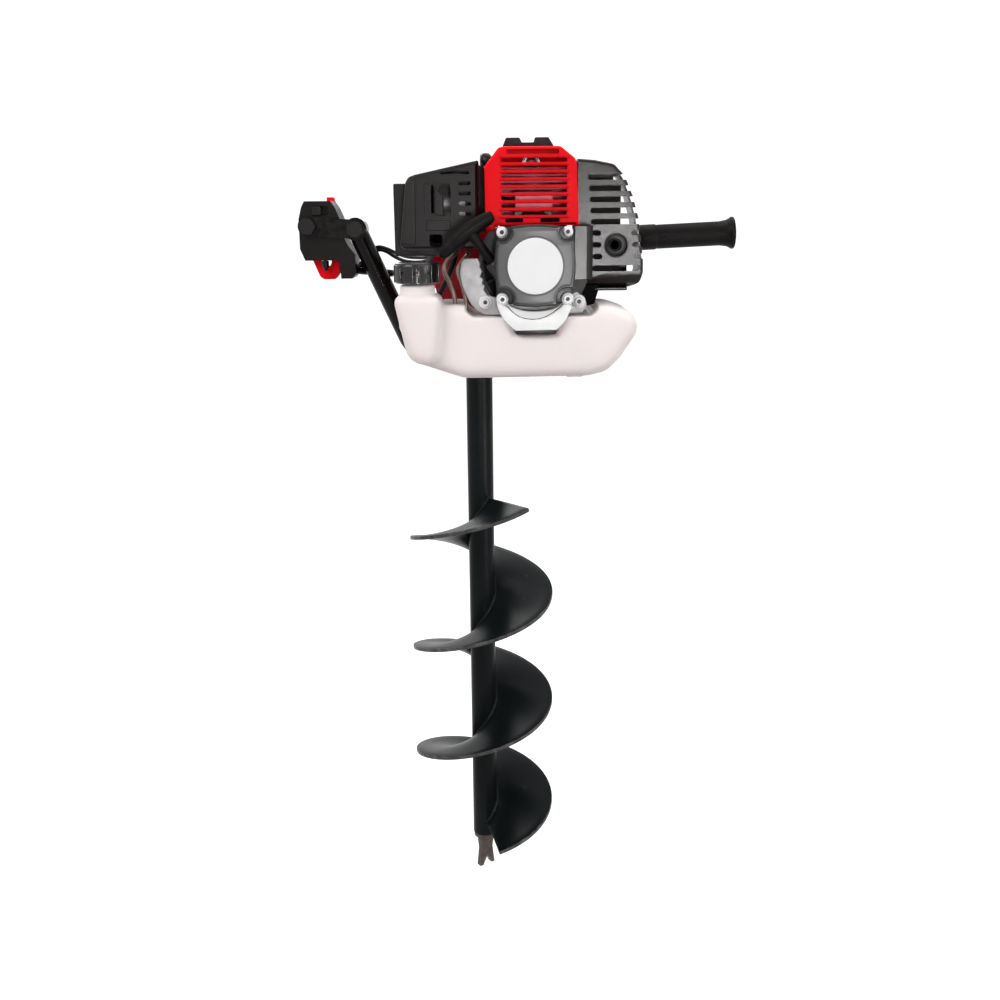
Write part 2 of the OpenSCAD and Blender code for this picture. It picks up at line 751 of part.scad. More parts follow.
// Room inside the housing for the trigger, the switch and the lock button
module shell_rooms() {
    half = trigger_w / 2 + 1;
    rod_y(core_r + fit, shell_y0 - 1, shell_y2 + 1, core_x, core_z);
    block([trigger_x - half, trigger_y - 10, axis_z - 60], [trigger_x + half, trigger_y + 20, trigger_z + 9]);
    rod_x(trigger_pin_r + fit, trigger_x - half - 5, trigger_x + half + 4, trigger_y, trigger_z);
    block([core_x + 5, shell_y0 - 1, core_z + 13.5], [core_x + 26, shell_y0 + 8, core_z + 25]);
    block([core_x + 20.2, shell_y1 + 3.7, core_z + 12], [core_x + 29.8, shell_y1 + 18.3, core_z + 40]);
}

module throttle_housing() {
    color("#1d1e20") difference() {
        slab_y(shell_y0, shell_y1) shell_outline();
        shell_rooms();
        translate([trigger_x, shell_y0 + 4, shell_foot - 1]) cylinder(r = 2.5 + fit, h = 10);
    }
}

module throttle_cover() {
    color("#1d1e20") difference() {
        slab_y(shell_y1, shell_y2) shell_outline();
        shell_rooms();
    }
}

module throttle_trigger() {
    half = trigger_w / 2;
    color("#d4142a") {
        difference() {
            intersection() {
                translate([trigger_x - half, trigger_y, trigger_z]) rotate([90, 0, 90])
                    linear_extrude(trigger_w) polygon([[-7, 5], [6, 5], [7, -8], [4, -22],
                        [6, -trigger_drop + 4], [3, -trigger_drop],
                        [-3, -trigger_drop], [-6, -22], [-7, -8]]);
                slab_y(trigger_y - 12, trigger_y + 12) translate([trigger_x, trigger_z])
                    polygon([[-half, 6], [-half, -15], [8 - half, 5 - trigger_drop],
                        [14 - half, -trigger_drop], [half - 8, -trigger_drop], [half - 2, 5 - trigger_drop],
                        [half, 12 - trigger_drop], [half, 6]]);
            }
            rod_y(7, trigger_y - 12, trigger_y + 12, trigger_x, trigger_z - 17);
            block([trigger_x - 7, trigger_y - 12, trigger_z - 17],
                [trigger_x + 7, trigger_y + 12, trigger_z - 8]);
        }
        rod_x(trigger_pin_r, trigger_x - half - 5, trigger_x + half + 4, trigger_y, trigger_z);
    }
}

module lock_button() {
    color("#d4142a") block([core_x + 20.5, shell_y1 + 4, core_z + 12 + lock_travel + seat],
        [core_x + 29.5, shell_y1 + 18, core_z + 36]);
}

module stop_switch() {
    color("#26282a") block([core_x + 5.5, shell_y0 - 4, core_z + 14],
        [core_x + 25 - switch_travel, shell_y0 + 7.7, core_z + 24.5]);
}

module throttle_cable() {
    color("#9ea1a4") difference() {
        union() {
            rod_z(2.5, shell_foot - 13, shell_foot + 8, trigger_x, shell_y0 + 4);
            rod_z(4.5, shell_foot - 9, shell_foot - seat, trigger_x, shell_y0 + 4);
        }
        rod_z(1, shell_foot - 14, shell_foot - 7, trigger_x, shell_y0 + 4);
    }
    color("#151515") cord(cable_route, cable_d);
}

// Engine

// Section of the crankcase across the crank, with the deck and the feet
module case_outline() {
    translate([axis_x, axis_z]) {
        circle(r = case_r);
        translate([-34, 0]) square([68, deck_z - axis_z]);
        for (x = [-30, 18]) translate([x, saddle_z - axis_z + seat]) square([12, 50]);
    }
}

module case_rooms() {
    room = web_gap / 2 + web_t + crank_room;
    rod_y(web_r + 3, cyl_y - room, cyl_y + room);
    rod_y(crank_bearing_r + fit, cyl_y - case_half + 3, cyl_y + case_half - 3);
    rod_y(journal_r + 0.6, fan_back_y - 1, clutch_y + 1);
    rod_z(bore_r + 0.5, axis_z, deck_z + 1, axis_x, cyl_y);
}

module crankcase_front() {
    color("#9b9ea1") difference() {
        union() {
            slab_y(case_y, cyl_y) case_outline();
            rod_y(26, fan_back_y, case_y);
            for (x = [axis_x - 20, axis_x + 12])
                block([x, fan_back_y - 3, deck_z - 8], [x + 8, case_y + 2, deck_z + 9]);
        }
        case_rooms();
    }
}

module crankcase_rear() {
    color("#9b9ea1") difference() {
        slab_y(cyl_y, clutch_y) case_outline();
        case_rooms();
    }
}

module crankshaft() {
    color("#8b8e91") {
        for (s = [-1, 1]) {
            y = cyl_y + s * (web_gap / 2 + web_t / 2);
            rod_y(web_r, y - web_t / 2, y + web_t / 2);
        }
        rod_y(journal_r, starter_y + 2, cyl_y - web_gap / 2 - web_t / 2);
        rod_y(journal_r, cyl_y + web_gap / 2 + web_t / 2, clutch_y + 20);
    }
}

module connecting_rod() {
    pin_z = axis_z + stroke / 2;
    half = web_gap / 2 - 0.5;
    color("#7f8285") {
        difference() {
            union() {
                rod_y(12, cyl_y - half, cyl_y + half, axis_x, pin_z);
                rod_y(8, cyl_y - half, cyl_y + half, axis_x, tdc_z);
                block([axis_x - 4, cyl_y - half + 1, pin_z + 8], [axis_x + 4, cyl_y + half - 1, tdc_z - 6]);
            }
            rod_y(7 + fit, cyl_y - 10, cyl_y + 10, axis_x, pin_z);
            rod_y(5 + fit, cyl_y - 10, cyl_y + 10, axis_x, tdc_z);
        }
        rod_y(7, cyl_y - web_gap / 2 + seat, cyl_y + web_gap / 2 - seat, axis_x, pin_z);
    }
}

module piston() {
    pin_half = bore_r - 3;
    color("#b4b7ba") {
        difference() {
            rod_z(bore_r - fit, tdc_z - skirt, tdc_z + crown, axis_x, cyl_y);
            rod_z(bore_r - 4, tdc_z - skirt - 1, tdc_z + crown - 5, axis_x, cyl_y);
            rod_y(5 + fit, cyl_y - bore_r, cyl_y + bore_r, axis_x, tdc_z);
        }
        rod_y(5, cyl_y - pin_half, cyl_y + pin_half, axis_x, tdc_z);
    }
}

// Axis of the spark plug, leaning back from the head
module along_plug() {
    translate([axis_x, cyl_y, plug_z]) rotate([plug_tilt - 90, 0, 0]) children();
}

module cylinder_fins() {
    for (i = [0 : fin_count - 1]) {
        z = fin_z + fin_pitch * i;
        block([axis_x - fin_w / 2, cyl_y - fin_w / 2, z], [axis_x + fin_w / 2, cyl_y + fin_w / 2, z + fin_t]);
    }
}

module engine_cylinder() {
    color("#a9acaf") difference() {
        union() {
            block([axis_x - 30, cyl_y - 30, deck_z], [axis_x + 30, cyl_y + 30, deck_z + 6]);
            rod_z(bore_r + liner, deck_z + 5, fin_top, axis_x, cyl_y);
            cylinder_fins();
            block([intake_x, cyl_y - 16, port_z - 14], [axis_x, cyl_y + 16, port_z + 14]);
            block([axis_x, cyl_y - 16, port_z - 14], [exhaust_x, cyl_y + 16, port_z + 14]);
        }
        rod_z(bore_r, deck_z - 1, head_z, axis_x, cyl_y);
        rod_x(8, intake_x - 1, axis_x, cyl_y, port_z);
        rod_x(port_r, axis_x, exhaust_x + 1, cyl_y, port_z);
        along_plug() {
            cylinder(r = 7 + fit, h = 40);
            translate([0, 0, 31]) cylinder(r = 12, h = 40);
        }
    }
}

module spark_plug() {
    along_plug() {
        color("#c9ccd0") translate([0, 0, 20]) cylinder(r = 7, h = 11);
        color("#c9ccd0") translate([0, 0, 31]) cylinder(r = 10, h = 9, $fn = 6);
        color("#f2efe8") translate([0, 0, 40]) cylinder(r = 5, h = 16);
        color("#c9ccd0") translate([0, 0, 56]) cylinder(r = 2.5, h = 6);
    }
}

module ignition_lead() {
    color("#111111") {
        along_plug() difference() {
            translate([0, 0, 41]) cylinder(r = 9, h = 28);
            translate([0, 0, 40]) cylinder(r = 5 + seat, h = 17);
            translate([0, 0, 40]) cylinder(r = 2.5 + seat, h = 22.5);
        }
        cord(lead_route, lead_d);
    }
}

module ignition_coil() {
    foot = deck_z + 9 + seat;
    z = max(foot, axis_z + fan_r + 1 + seat);
    rear = min(fan_back_y, cyl_y - fin_w / 2 - 4) + 2;
    color("#2a2b2e") {
        block([axis_x - 20, starter_y + 10, z + 2], [axis_x + 20, rear, z + 20]);
        block([axis_x - 20, rear - 5, foot], [axis_x + 20, rear, z + 3]);
    }
}

module flywheel() {
    back = fan_back_y - fan_plate - 3;
    color("#8f9396") difference() {
        union() {
            rod_y(fan_r - 12, back - 7, back);
            rod_y(16, fan_y + 3, back);
            for (i = [0 : fan_vanes - 1]) translate([axis_x, 0, axis_z]) rotate([0, 360 * i / fan_vanes, 0])
                block([fan_r - 24, fan_y + 3, -1.2], [fan_r, back - 2, 1.2]);
            ring_y(fan_r, fan_r - 13, back - 3, back);
        }
        rod_y(journal_r + fit, fan_y, back + 1);
    }
}

module clutch_shoes() {
    y0 = clutch_y + 3;
    y1 = clutch_y + 20;
    inner = drum_r - 3;
    color("#55585b") difference() {
        rod_y(inner - 1.5, y0, y1);
        rod_y(journal_r + fit, y0 - 1, y1 + 1);
        for (a = [20, 200]) translate([axis_x, 0, axis_z]) rotate([0, a, 0])
            block([14, y0 - 1, -40], [20, y1 + 1, 14]);
    }
}

module clutch_drum() {
    y1 = gear_y - 8;
    color("#6b6e71") {
        difference() {
            rod_y(drum_r, clutch_y + 2, y1);
            rod_y(drum_r - 3, clutch_y + 1, y1 - 3);
            rod_y(worm_shaft_r + fit, y1 - 4, y1 + 1);
        }
        ring_y(14, worm_shaft_r + fit, y1, y1 + 5);
    }
}

module clutch_housing() {
    color("#2c2e30") difference() {
        rod_y(clutch_out_r, clutch_y, gear_y);
        rod_y(clutch_r, clutch_y - 1, gear_y - 2.5);
        rod_y(15, gear_y - 3, gear_y + 1);
    }
}

// Exhaust side

module muffler() {
    color("#77797b") difference() {
        union() {
            block([muffler_body_x, muffler_y0, muffler_z0], [muffler_x1, muffler_y1, muffler_z1]);
            block([muffler_x0, cyl_y - 18, port_z - 18], [muffler_body_x + 1, cyl_y + 18, port_z + 18]);
            rod_y(exhaust_r, guard_y + 1, muffler_y0 + 1, exhaust_x1, exhaust_z);
        }
        block([muffler_body_x, muffler_y0, muffler_z0] + muffler_wall * [1, 1, 1],
            [muffler_x1, muffler_y1, muffler_z1] - muffler_wall * [1, 1, 1]);
        rod_x(port_r, muffler_x0 - 1, muffler_body_x + muffler_wall + 1, cyl_y, port_z);
        rod_y(exhaust_r - 1.5, guard_y, muffler_y0 + muffler_wall + 1, exhaust_x1, exhaust_z);
    }
}

// Front outline of the muffler guard, drawn in by an inset
module guard_outline(inset = 0) {
    polygon([[113.2, 829 + inset], [164, 821 + inset], [182 - inset, 838], [177 - inset, 898],
        [166.5 - inset, 934], [154 - inset / 2, 953.5 - inset], [113.2, 960 - inset]]);
}

module muffler_guard() {
    front = guard_y + cover_wall;
    color("#1c1d1f") difference() {
        union() {
            difference() {
                slab_y(guard_y, guard_rear_y) guard_outline();
                slab_y(front, guard_rear_y + 1) guard_outline(cover_wall);
                block([112, guard_y + 20, 800], [113.2 + cover_wall, guard_rear_y + 1, 970]);
            }
            for (z = [muffler_z0 + 8, muffler_z1 - 8]) rod_y(4.5, front - 1, muffler_y0 - seat, 119, z);
            block([skirt_x0, skirt_y, 828], [skirt_x1, starter_y - seat, cover_foot - 3]);
            block([skirt_x1 - cover_wall, skirt_y, 828], [skirt_x1, front, cover_foot - 3]);
        }
        for (z = [0 : 4]) translate([0, 0, -guard_slot_step * z])
            block([124, guard_y - 1, 934], [190, guard_y + 40, 934 + guard_slot_h]);
        block([124, guard_y - 1, 834], [190, guard_y + 40, 834 + guard_slot_h]);
        for (i = [0 : 2], x = [127, 172]) translate([x, 0, -guard_slot_step * i])
            block([0, guard_y - 1, 872], [10, guard_y + 14, 872 + guard_slot_h]);
        rod_y(exhaust_hole_r, guard_y - 1, front + 1, exhaust_x1, exhaust_z);
    }
}

// Intake side

module intake_insulator() {
    color("#3a2f2a") difference() {
        block([carb_x + seat, cyl_y - 17, port_z - 15], [intake_x - seat, cyl_y + 17, port_z + 15]);
        rod_x(8, carb_x, intake_x, cyl_y, port_z);
    }
}

module carburettor() {
    x0 = carb_x - carb_w;
    color("#b7babd") difference() {
        union() {
            block([x0 + 8, cyl_y - carb_half_y + 3, port_z - 14],
                [carb_x - 6, cyl_y + carb_half_y, port_z + 14]);
            rod_x(15, x0, carb_x, cyl_y, port_z);
            block([x0 + 12, cyl_y - 14, carb_z0], [carb_x - 10, cyl_y + 14, carb_z1]);
            block([x0 + 8, cyl_y + 12, carb_z0 - 3], [x0 + 14, cyl_y + carb_half_y + 13, port_z - 13]);
        }
        rod_x(8, x0 - 1, carb_x + 1, cyl_y, port_z);
        rod_y(lever_pin_r + fit, cyl_y + 5, cyl_y + carb_half_y + 1, lever_x, lever_z);
        rod_z(bulb_r + 0.5, carb_z0 - 1, carb_z0 + 5, bulb_x, cyl_y + 2);
    }
}

module carb_lever() {
    y0 = cyl_y + carb_half_y;
    color("#c9b15a") {
        rod_y(lever_pin_r, y0 - 8, y0 + 5, lever_x, lever_z);
        translate([lever_x, 0, lever_z]) rotate([0, lever_tilt, 0]) {
            block([-lever_pin_r, y0 + seat, -lever_len], [lever_pin_r, y0 + 3, 0]);
            rod_y(1.5, y0 + 2, y0 + 7, 0, 2 - lever_len);
        }
    }
}

module primer_bulb() {
    color("#d8cfa8") intersection() {
        translate([bulb_x, cyl_y + 2, carb_z0 - seat]) sphere(r = bulb_r);
        rod_z(bulb_r + 1, carb_z0 - bulb_r - 4, carb_z0 - seat, bulb_x, cyl_y + 2);
    }
}

module air_filter_case() {
    x0 = -89;
    z0 = axis_z + 8;
    z1 = axis_z + 86;
    color("#1f2022") difference() {
        block([x0, filter_split_y, z0], [filter_x, filter_rear_y, z1]);
        block([x0 + 3, filter_split_y + 3, z0 + 3], [filter_x - 3, filter_rear_y - 3, z1 - 3]);
        block([-66, filter_split_y - 1, z0 + 14], [filter_x - 3, filter_split_y + 4, z1 - 3]);
        rod_x(12, filter_x - 4, filter_x + 1, cyl_y, port_z);
    }
}

module filter_element() {
    color("#5a5d52") difference() {
        block([-85, filter_split_y + 6, axis_z + 11 + seat],
            [filter_x - 12, filter_rear_y - 3 - seat, axis_z + 83 - seat]);
        block([-74, filter_split_y + 5, axis_z + 24], [filter_x - 11, filter_rear_y - 14, axis_z + 70]);
    }
}

// Front outline of the filter cover, drawn in by an inset
module filter_outline(inset = 0) {
    polygon([[-81 + inset, 872 + inset], [-72, 868 + inset], [2 - inset, 868 + inset], [6.4 - inset, 880],
        [7.4 - inset, 958 - inset], [2 - inset, 959 - inset], [-70 + inset, 940 - inset], [-74 + inset, 932]]);
}

module air_filter_cover() {
    y1 = filter_split_y - seat;
    front = filter_cover_y + cover_wall;
    color("#1b1c1e") difference() {
        slab_y(filter_cover_y, y1) filter_outline();
        slab_y(front, y1 + 1) filter_outline(cover_wall);
        for (i = [0 : 3]) translate([0, 0, -11.5 * i])
            block([-22, filter_cover_y - 1, 932], [-8, front + 1, 936.6]);
        block([-44, filter_cover_y - 1, 945], [-10, front + 1, 949]);
        block([-61, filter_cover_y - 1, 900], [-52, front + 1, 936]);
        intersection() {
            rod_y(18, filter_cover_y - 1, front + 1, -46, 917);
            block([-46, filter_cover_y - 1, 890], [-30, front + 1, 940]);
        }
    }
}

// Covers on the cylinder

// Front outline of the cylinder cover, drawn in by an inset
module cover_outline(inset = 0) {
    foot = cover_foot - (inset > 0 ? 1 : 0);
    polygon([[14.4 + inset, foot], [12 + inset, cover_top - 19], [27 + inset / 2, cover_top - inset],
        [92 - inset / 2, cover_top - inset], [110 - inset, cover_top - 14], [111.8 - inset, foot]]);
}

module cylinder_cover() {
    front = cover_y + cover_wall;
    color("#d5121b") difference() {
        union() {
            difference() {
                slab_y(cover_y, cover_rear_y) cover_outline();
                slab_y(front, cover_rear_y + 1) cover_outline(cover_wall);
            }
            slab_y(cover_rear_y - cover_wall, cover_rear_y) cover_outline();
            for (x = [-25, 25]) rod_z(5, fin_top + seat, cover_top - 1, axis_x + x, cyl_y);
        }
        for (i = [0 : cover_slots - 1]) translate([0, 0, top_slot_z - slot_pitch * i])
            block([30, cover_y - 1, 0], [97, front + 1, cover_slot_h]);
        block([36, cover_y - 1, cover_top - 8.5], [88, front + 1, cover_top - 4.5]);
        block([axis_x - fin_w / 2 - 1, cover_rear_y - 4, cover_foot - 1],
            [axis_x + fin_w / 2 + 1, cover_rear_y + 1, fin_top + 1]);
        block([axis_x - 14, cover_rear_y - 4, fin_top],
            [axis_x + 14, cover_rear_y + 1, cover_top - cover_wall]);
        block([105, case_y + 3, cover_foot - 1], [120, cover_rear_y + 1, muffler_z1 + 3]);
        block([8, cyl_y - 22, cover_foot - 1], [20, cyl_y + 22, port_z + 19]);
        translate([16, -150, 957]) rotate([0, -60, 0])
            translate([0, 0, -14]) cylinder(r = lead_d / 2 + 4, h = 28);
    }
}

module top_clip() {
    z = cover_top + seat;
    y0 = cyl_y - 33;
    color("#141517") {
        block([32, y0, z], [88, y0 + 25, z + 3]);
        for (x = [[32, 52], [66, 88]]) {
            block([x[0], y0, z + 3], [x[1], y0 + 4, z + 11]);
            block([x[0], y0 + 21, z + 3], [x[1], y0 + 25, z + 11]);
        }
    }
}

// Fan and starter

module fan_housing() {
    back = fan_back_y - fan_plate;
    ring_r = fan_r + 2.5;
    wings = [[-18, 850], [-15, 818], [-9, 813], [-3, 801], [40, 797], [88, 797], [118, 799], [122, 808],
        [110, 822], [64, 815], [14, 850], [8, 884], [-8, 876]];
    color("#8e9194") difference() {
        union() {
            rod_y(ring_r + 3, starter_y, fan_back_y);
            slab_y(starter_y, starter_y + 8) polygon(wings);
        }
        rod_y(ring_r, fan_y, back);
        rod_y(12, back - 1, fan_back_y + 1);
        rod_y(40, starter_y - 1, fan_y + 1);
        block([axis_x - 80, starter_y - 1, cover_foot - 6], [axis_x + 80, fan_back_y + 1, axis_z + 80]);
        translate([axis_x, 0, axis_z]) rotate([0, 168, 0])
            block([30, starter_y - 1, -16], [ring_r, fan_y + 1, 26]);
        rod_y(ring_r, starter_y + 3, starter_y + 9);
        for (x = [-post, post], z = [-post, post])
            rod_y(2 + fit, starter_y - 1, starter_y + 12, axis_x + x, axis_z + z);
    }
}

// Square with round scallops at the corners
module starter_outline(w, scallop) {
    difference() {
        square([w, w], center = true);
        if (scallop > 0) for (x = [-post, post], y = [-post, post]) translate([x, y]) circle(r = scallop);
        for (a = [45 : 90 : 315]) rotate(a) translate([w * 0.66, -10]) square(20);
    }
}

// Axis of the starter rope where it leaves the cover
module along_pull() {
    translate(pull_root) rotate([0, -pull_tilt, 0]) children();
}

module starter_cover() {
    color("#2c2d2f") difference() {
        union() {
            translate([axis_x, 0, axis_z]) {
                slab_y(starter_face_y, starter_y) starter_outline(starter_w, ear_notch);
                slab_y(ear_y, starter_y) starter_outline(starter_w, 0);
            }
            along_pull() translate([0, 0, -14]) cylinder(r = rope_guide_r, h = 14);
        }
        rod_y(starter_cavity_r, starter_face_y + 3, starter_y + 1);
        rod_y(panel_r, starter_face_y - 1, starter_face_y + 0.8);
        for (x = [-post, post], z = [-post, post])
            rod_y(2 + fit, ear_y - 1, starter_y + 1, axis_x + x, axis_z + z);
        along_pull() translate([0, 0, -34]) cylinder(r = rope_d / 2 + 1, h = 36);
    }
    color("#2c2d2f") rod_y(spring_post_r, starter_face_y + 2, starter_y - 4);
}

module starter_pulley() {
    y0 = pull_y - 7;
    color("#d8d6cf") difference() {
        rod_y(pulley_r, y0, y0 + 14);
        difference() {
            rod_y(pulley_r + 1, y0 + 4, y0 + 10);
            rod_y(pulley_r - 6, y0 + 3, y0 + 11);
        }
        rod_y(spring_post_r + fit, y0 - 1, y0 + 15);
    }
}

// Flat spiral spring between the starter post and its rim
module recoil_spring() {
    turns = 4;
    per_turn = 24;
    steps = turns * per_turn;
    strip = 0.8;
    inner = spring_post_r + seat;
    rise = (starter_cavity_r - seat - strip - inner) / turns;
    arm = [for (i = [0 : steps]) let(a = 360 * i / per_turn, r = inner + rise * i / per_turn)
        [r * cos(a), r * sin(a)]];
    back = [for (i = [steps : -1 : 0]) let(a = 360 * i / per_turn, r = inner + strip + rise * i / per_turn)
        [r * cos(a), r * sin(a)]];
    color("#5d6063") translate([axis_x, 0, axis_z]) slab_y(starter_face_y + 3 + seat, pull_y - 8)
        polygon(concat(arm, back));
}

module pull_handle() {
    half = pull_bar_len / 2 - pull_bar_d / 2;
    color("#141415") along_pull() {
        difference() {
            union() {
                translate([0, 0, seat]) cylinder(r1 = 5, r2 = 6, h = stem_len);
                translate([0, 0, seat + stem_len]) rod_x(pull_bar_d / 2, -half - 4, half - 4, 0, 0);
                translate([-half - 4, 0, seat + stem_len]) sphere(d = pull_bar_d);
                translate([half - 4, 0, seat + stem_len]) sphere(d = pull_bar_d);
            }
            translate([0, 0, -1]) cylinder(r = rope_d / 2 + fit, h = stem_len);
        }
    }
}

// Socket-headed screw along +Y
module cap_screw(x, y, z, length) {
    rod_y(2, y, y + length, x, z);
    difference() {
        rod_y(4.2, y - 4, y, x, z);
        translate([x, y - 5, z]) rotate([-90, 0, 0]) cylinder(r = 2, h = 3, $fn = 6);
    }
}

module engine_screws() {
    color("#c9ccce") {
        for (x = [-post, post]) {
            cap_screw(axis_x + x, ear_y, axis_z + post, ear_len + fan_flange - seat);
            cap_screw(axis_x + x, ear_y - bracket_t, axis_z - post, bracket_t + ear_len + fan_flange - seat);
        }
        for (x = [11.3, 112]) {
            rod_y(7.2, starter_y - 2, starter_y, x, axis_z - 39);
            rod_y(4.5, starter_y - 5, starter_y - 2, x, axis_z - 39);
        }
    }
}

module tank_bracket() {
    y0 = ear_y - bracket_t;
    low = axis_z - 67.5;
    color("#d3d5d7") difference() {
        union() {
            slab_y(y0, ear_y) {
                difference() {
                    translate([axis_x, axis_z]) polygon([[-40, -36], [-37, -48], [-30.7, -57], [-21.5, -67],
                        [22, -67], [28.8, -61.5], [35.5, -50], [39, -36], [30, -28], [-30, -28]]);
                    translate([axis_x, axis_z]) circle(r = 47);
                    translate([axis_x, axis_z]) starter_outline(starter_w + 2 * seat, ear_notch - seat);
                }
                for (x = [-post, post]) translate([axis_x + x, axis_z - post]) circle(r = 7);
            }
            block([foot_x0, y0, saddle_z + seat], [foot_x1, tank_front_y + 18, low + 1]);
        }
        translate([0, 0, -14]) ring_y(42, 40.6, y0 - 1, y0 + 1.5);
        for (x = [-post, post]) rod_y(2 + fit, y0 - 1, ear_y + 1, axis_x + x, axis_z - post);
        block([axis_x - 100, ear_y, axis_z - 60], [axis_x + 100, starter_y, axis_z]);
    }
}

// Fuel system

// Rounded body through discs that lie across Y, given as x, z and radius
module tank_body(discs, y0, y1, inset) {
    hull() for (d = discs, s = [[0, 14], [5, 5], [14, 0]]) {
        r = max(d[2] - inset - s[0], 1.5);
        translate([d[0], y1 - inset - s[1], d[1]]) rotate([90, 0, 0])
            cylinder(r = r, h = y1 - y0 - 2 * inset - 2 * s[1], $fn = 28);
    }
}

module tank_solid(inset) {
    main = [[-68, tank_top - 14, 14], [-52, 762, 17], [-8, 758, 27], [120, 776, 45],
        [155.5, tank_top - 19.5, 19.5], [140, tank_top - 13.5, 13.5]];
    column = [[-70, 797, 17], [-53, 797, 17], [-56, 766, 19], [-54, 764, 18]];
    tank_body(main, tank_front_y, tank_back_y, inset);
    tank_body(column, tank_front_y - column_front, tank_front_y + 50, inset);
}

// Room above the tank for the engine, drawn out by an inset
module saddle_room(inset) {
    slab_y(tank_front_y - 10, tank_back_y + 10)
        polygon([[-10 - inset, 840], [-10 - inset, tank_top - inset], [-2 - inset, shelf_z - inset],
            [124 + inset, shelf_z - inset], [132 + inset, tank_top - inset], [132 + inset, 840]]);
    slab_y(tank_front_y + 16 - inset, tank_back_y + 10)
        polygon([[24 - inset, shelf_z + 1], [34 - inset, saddle_z - inset], [94 + inset, saddle_z - inset],
            [104 + inset, shelf_z + 1]]);
    block([foot_x0 - 1 - inset, tank_front_y - 10, saddle_z - inset],
        [foot_x1 + 1 + inset, tank_front_y + 18 + inset, shelf_z + 1]);
}

module fuel_tank() {
    color("#efe7e2") difference() {
        union() {
            difference() {
                tank_solid(0);
                saddle_room(0);
            }
            rod_z(neck_r, tank_top - 12, neck_top, cap_x, cap_y);
            for (x = [0, 108]) block([x - 10, tank_front_y + 30, 727], [x + 12, tank_front_y + 70, 734]);
        }
        difference() {
            tank_solid(tank_wall);
            saddle_room(tank_wall);
        }
        rod_z(neck_r - 4, tank_top - 20, neck_top + 1, cap_x, cap_y);
        for (p = [feed_route[1], return_route[0]])
            rod_z(hose_d / 2 + hose_gap, tank_top - 30, tank_top + 10, p[0], p[1]);
    }
}

module fuel_cap() {
    z0 = neck_top - 10;
    z1 = neck_top + fuel_cap_h;
    color("#161617") difference() {
        union() {
            rod_z(fuel_cap_r - 1, neck_top, z1, cap_x, cap_y);
            for (i = [0 : 23]) translate([cap_x, cap_y, 0]) rotate([0, 0, 15 * i])
                rod_z(1.6, neck_top + 2, z1 - 2, fuel_cap_r - 1.6, 0);
            rod_z(neck_r + 2.5, z0, neck_top + 3, cap_x, cap_y);
        }
        rod_z(neck_r + fit, z0 - 1, neck_top + seat, cap_x, cap_y);
    }
}

module fuel_hose() {
    foot = feed_route[0];
    color("#b89a78") cord(feed_route, hose_d);
    color("#b89a78") cord(return_route, hose_d);
    color("#d9d2c4") difference() {
        rod_z(7, foot[2] - 14, foot[2] + 6, foot[0], foot[1]);
        rod_z(hose_d / 2 + fit, foot[2] - seat, foot[2] + 7, foot[0], foot[1]);
    }
}

auger_tube();
auger_flight();
pilot_point();
coupling_bolt();
output_shaft();
worm_wheel();
worm_shaft();
gearbox_body();
gearbox_cover();
gearbox_bolts();
bearings();
shaft_seal();
frame_clamp();
left_handle_tube();
right_handle_tube();
right_grip();
handle_plate();
handle_bolts();
grip_core();
left_grip();
throttle_housing();
throttle_cover();
throttle_trigger();
lock_button();
stop_switch();
throttle_cable();
crankcase_front();
crankcase_rear();
crankshaft();
connecting_rod();
piston();
engine_cylinder();
spark_plug();
ignition_lead();
ignition_coil();
flywheel();
clutch_shoes();
clutch_drum();
clutch_housing();
muffler();
muffler_guard();
carburettor();
intake_insulator();
carb_lever();
primer_bulb();
air_filter_case();
air_filter_cover();
filter_element();
cylinder_cover();
top_clip();
fan_housing();
starter_cover();
starter_pulley();
recoil_spring();
pull_handle();
engine_screws();
tank_bracket();
fuel_tank();
fuel_cap();
fuel_hose();
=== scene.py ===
import json
import math

import bmesh
import bpy
from mathutils import Matrix, Vector


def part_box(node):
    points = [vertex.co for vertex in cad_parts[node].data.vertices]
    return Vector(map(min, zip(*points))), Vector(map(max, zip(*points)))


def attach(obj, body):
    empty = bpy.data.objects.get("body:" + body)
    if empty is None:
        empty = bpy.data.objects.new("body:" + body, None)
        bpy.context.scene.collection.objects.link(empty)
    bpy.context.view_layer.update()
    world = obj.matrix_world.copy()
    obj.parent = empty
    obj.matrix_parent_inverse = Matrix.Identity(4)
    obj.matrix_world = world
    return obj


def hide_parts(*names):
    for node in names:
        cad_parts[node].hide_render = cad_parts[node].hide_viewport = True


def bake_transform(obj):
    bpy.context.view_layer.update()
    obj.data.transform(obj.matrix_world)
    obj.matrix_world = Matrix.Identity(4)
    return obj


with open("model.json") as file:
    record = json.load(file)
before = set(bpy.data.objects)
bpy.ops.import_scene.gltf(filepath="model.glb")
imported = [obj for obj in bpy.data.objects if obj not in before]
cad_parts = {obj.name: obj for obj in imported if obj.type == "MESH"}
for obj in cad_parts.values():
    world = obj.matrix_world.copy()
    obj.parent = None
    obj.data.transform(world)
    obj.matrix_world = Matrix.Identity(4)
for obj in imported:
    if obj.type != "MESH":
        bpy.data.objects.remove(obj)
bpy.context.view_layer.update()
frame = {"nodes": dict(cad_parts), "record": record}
nodes = frame["nodes"]
mm = 0.001
forward = (0, -1, 0)
backward = (0, 1, 0)
quarterTurn = Matrix.Rotation(math.pi / 2, 4, "Z")
print("frame loaded:", len(nodes), "solids")


# Small mesh tools

def addObject(name, data):
    obj = bpy.data.objects.new(name, data)
    bpy.context.scene.collection.objects.link(obj)
    return obj


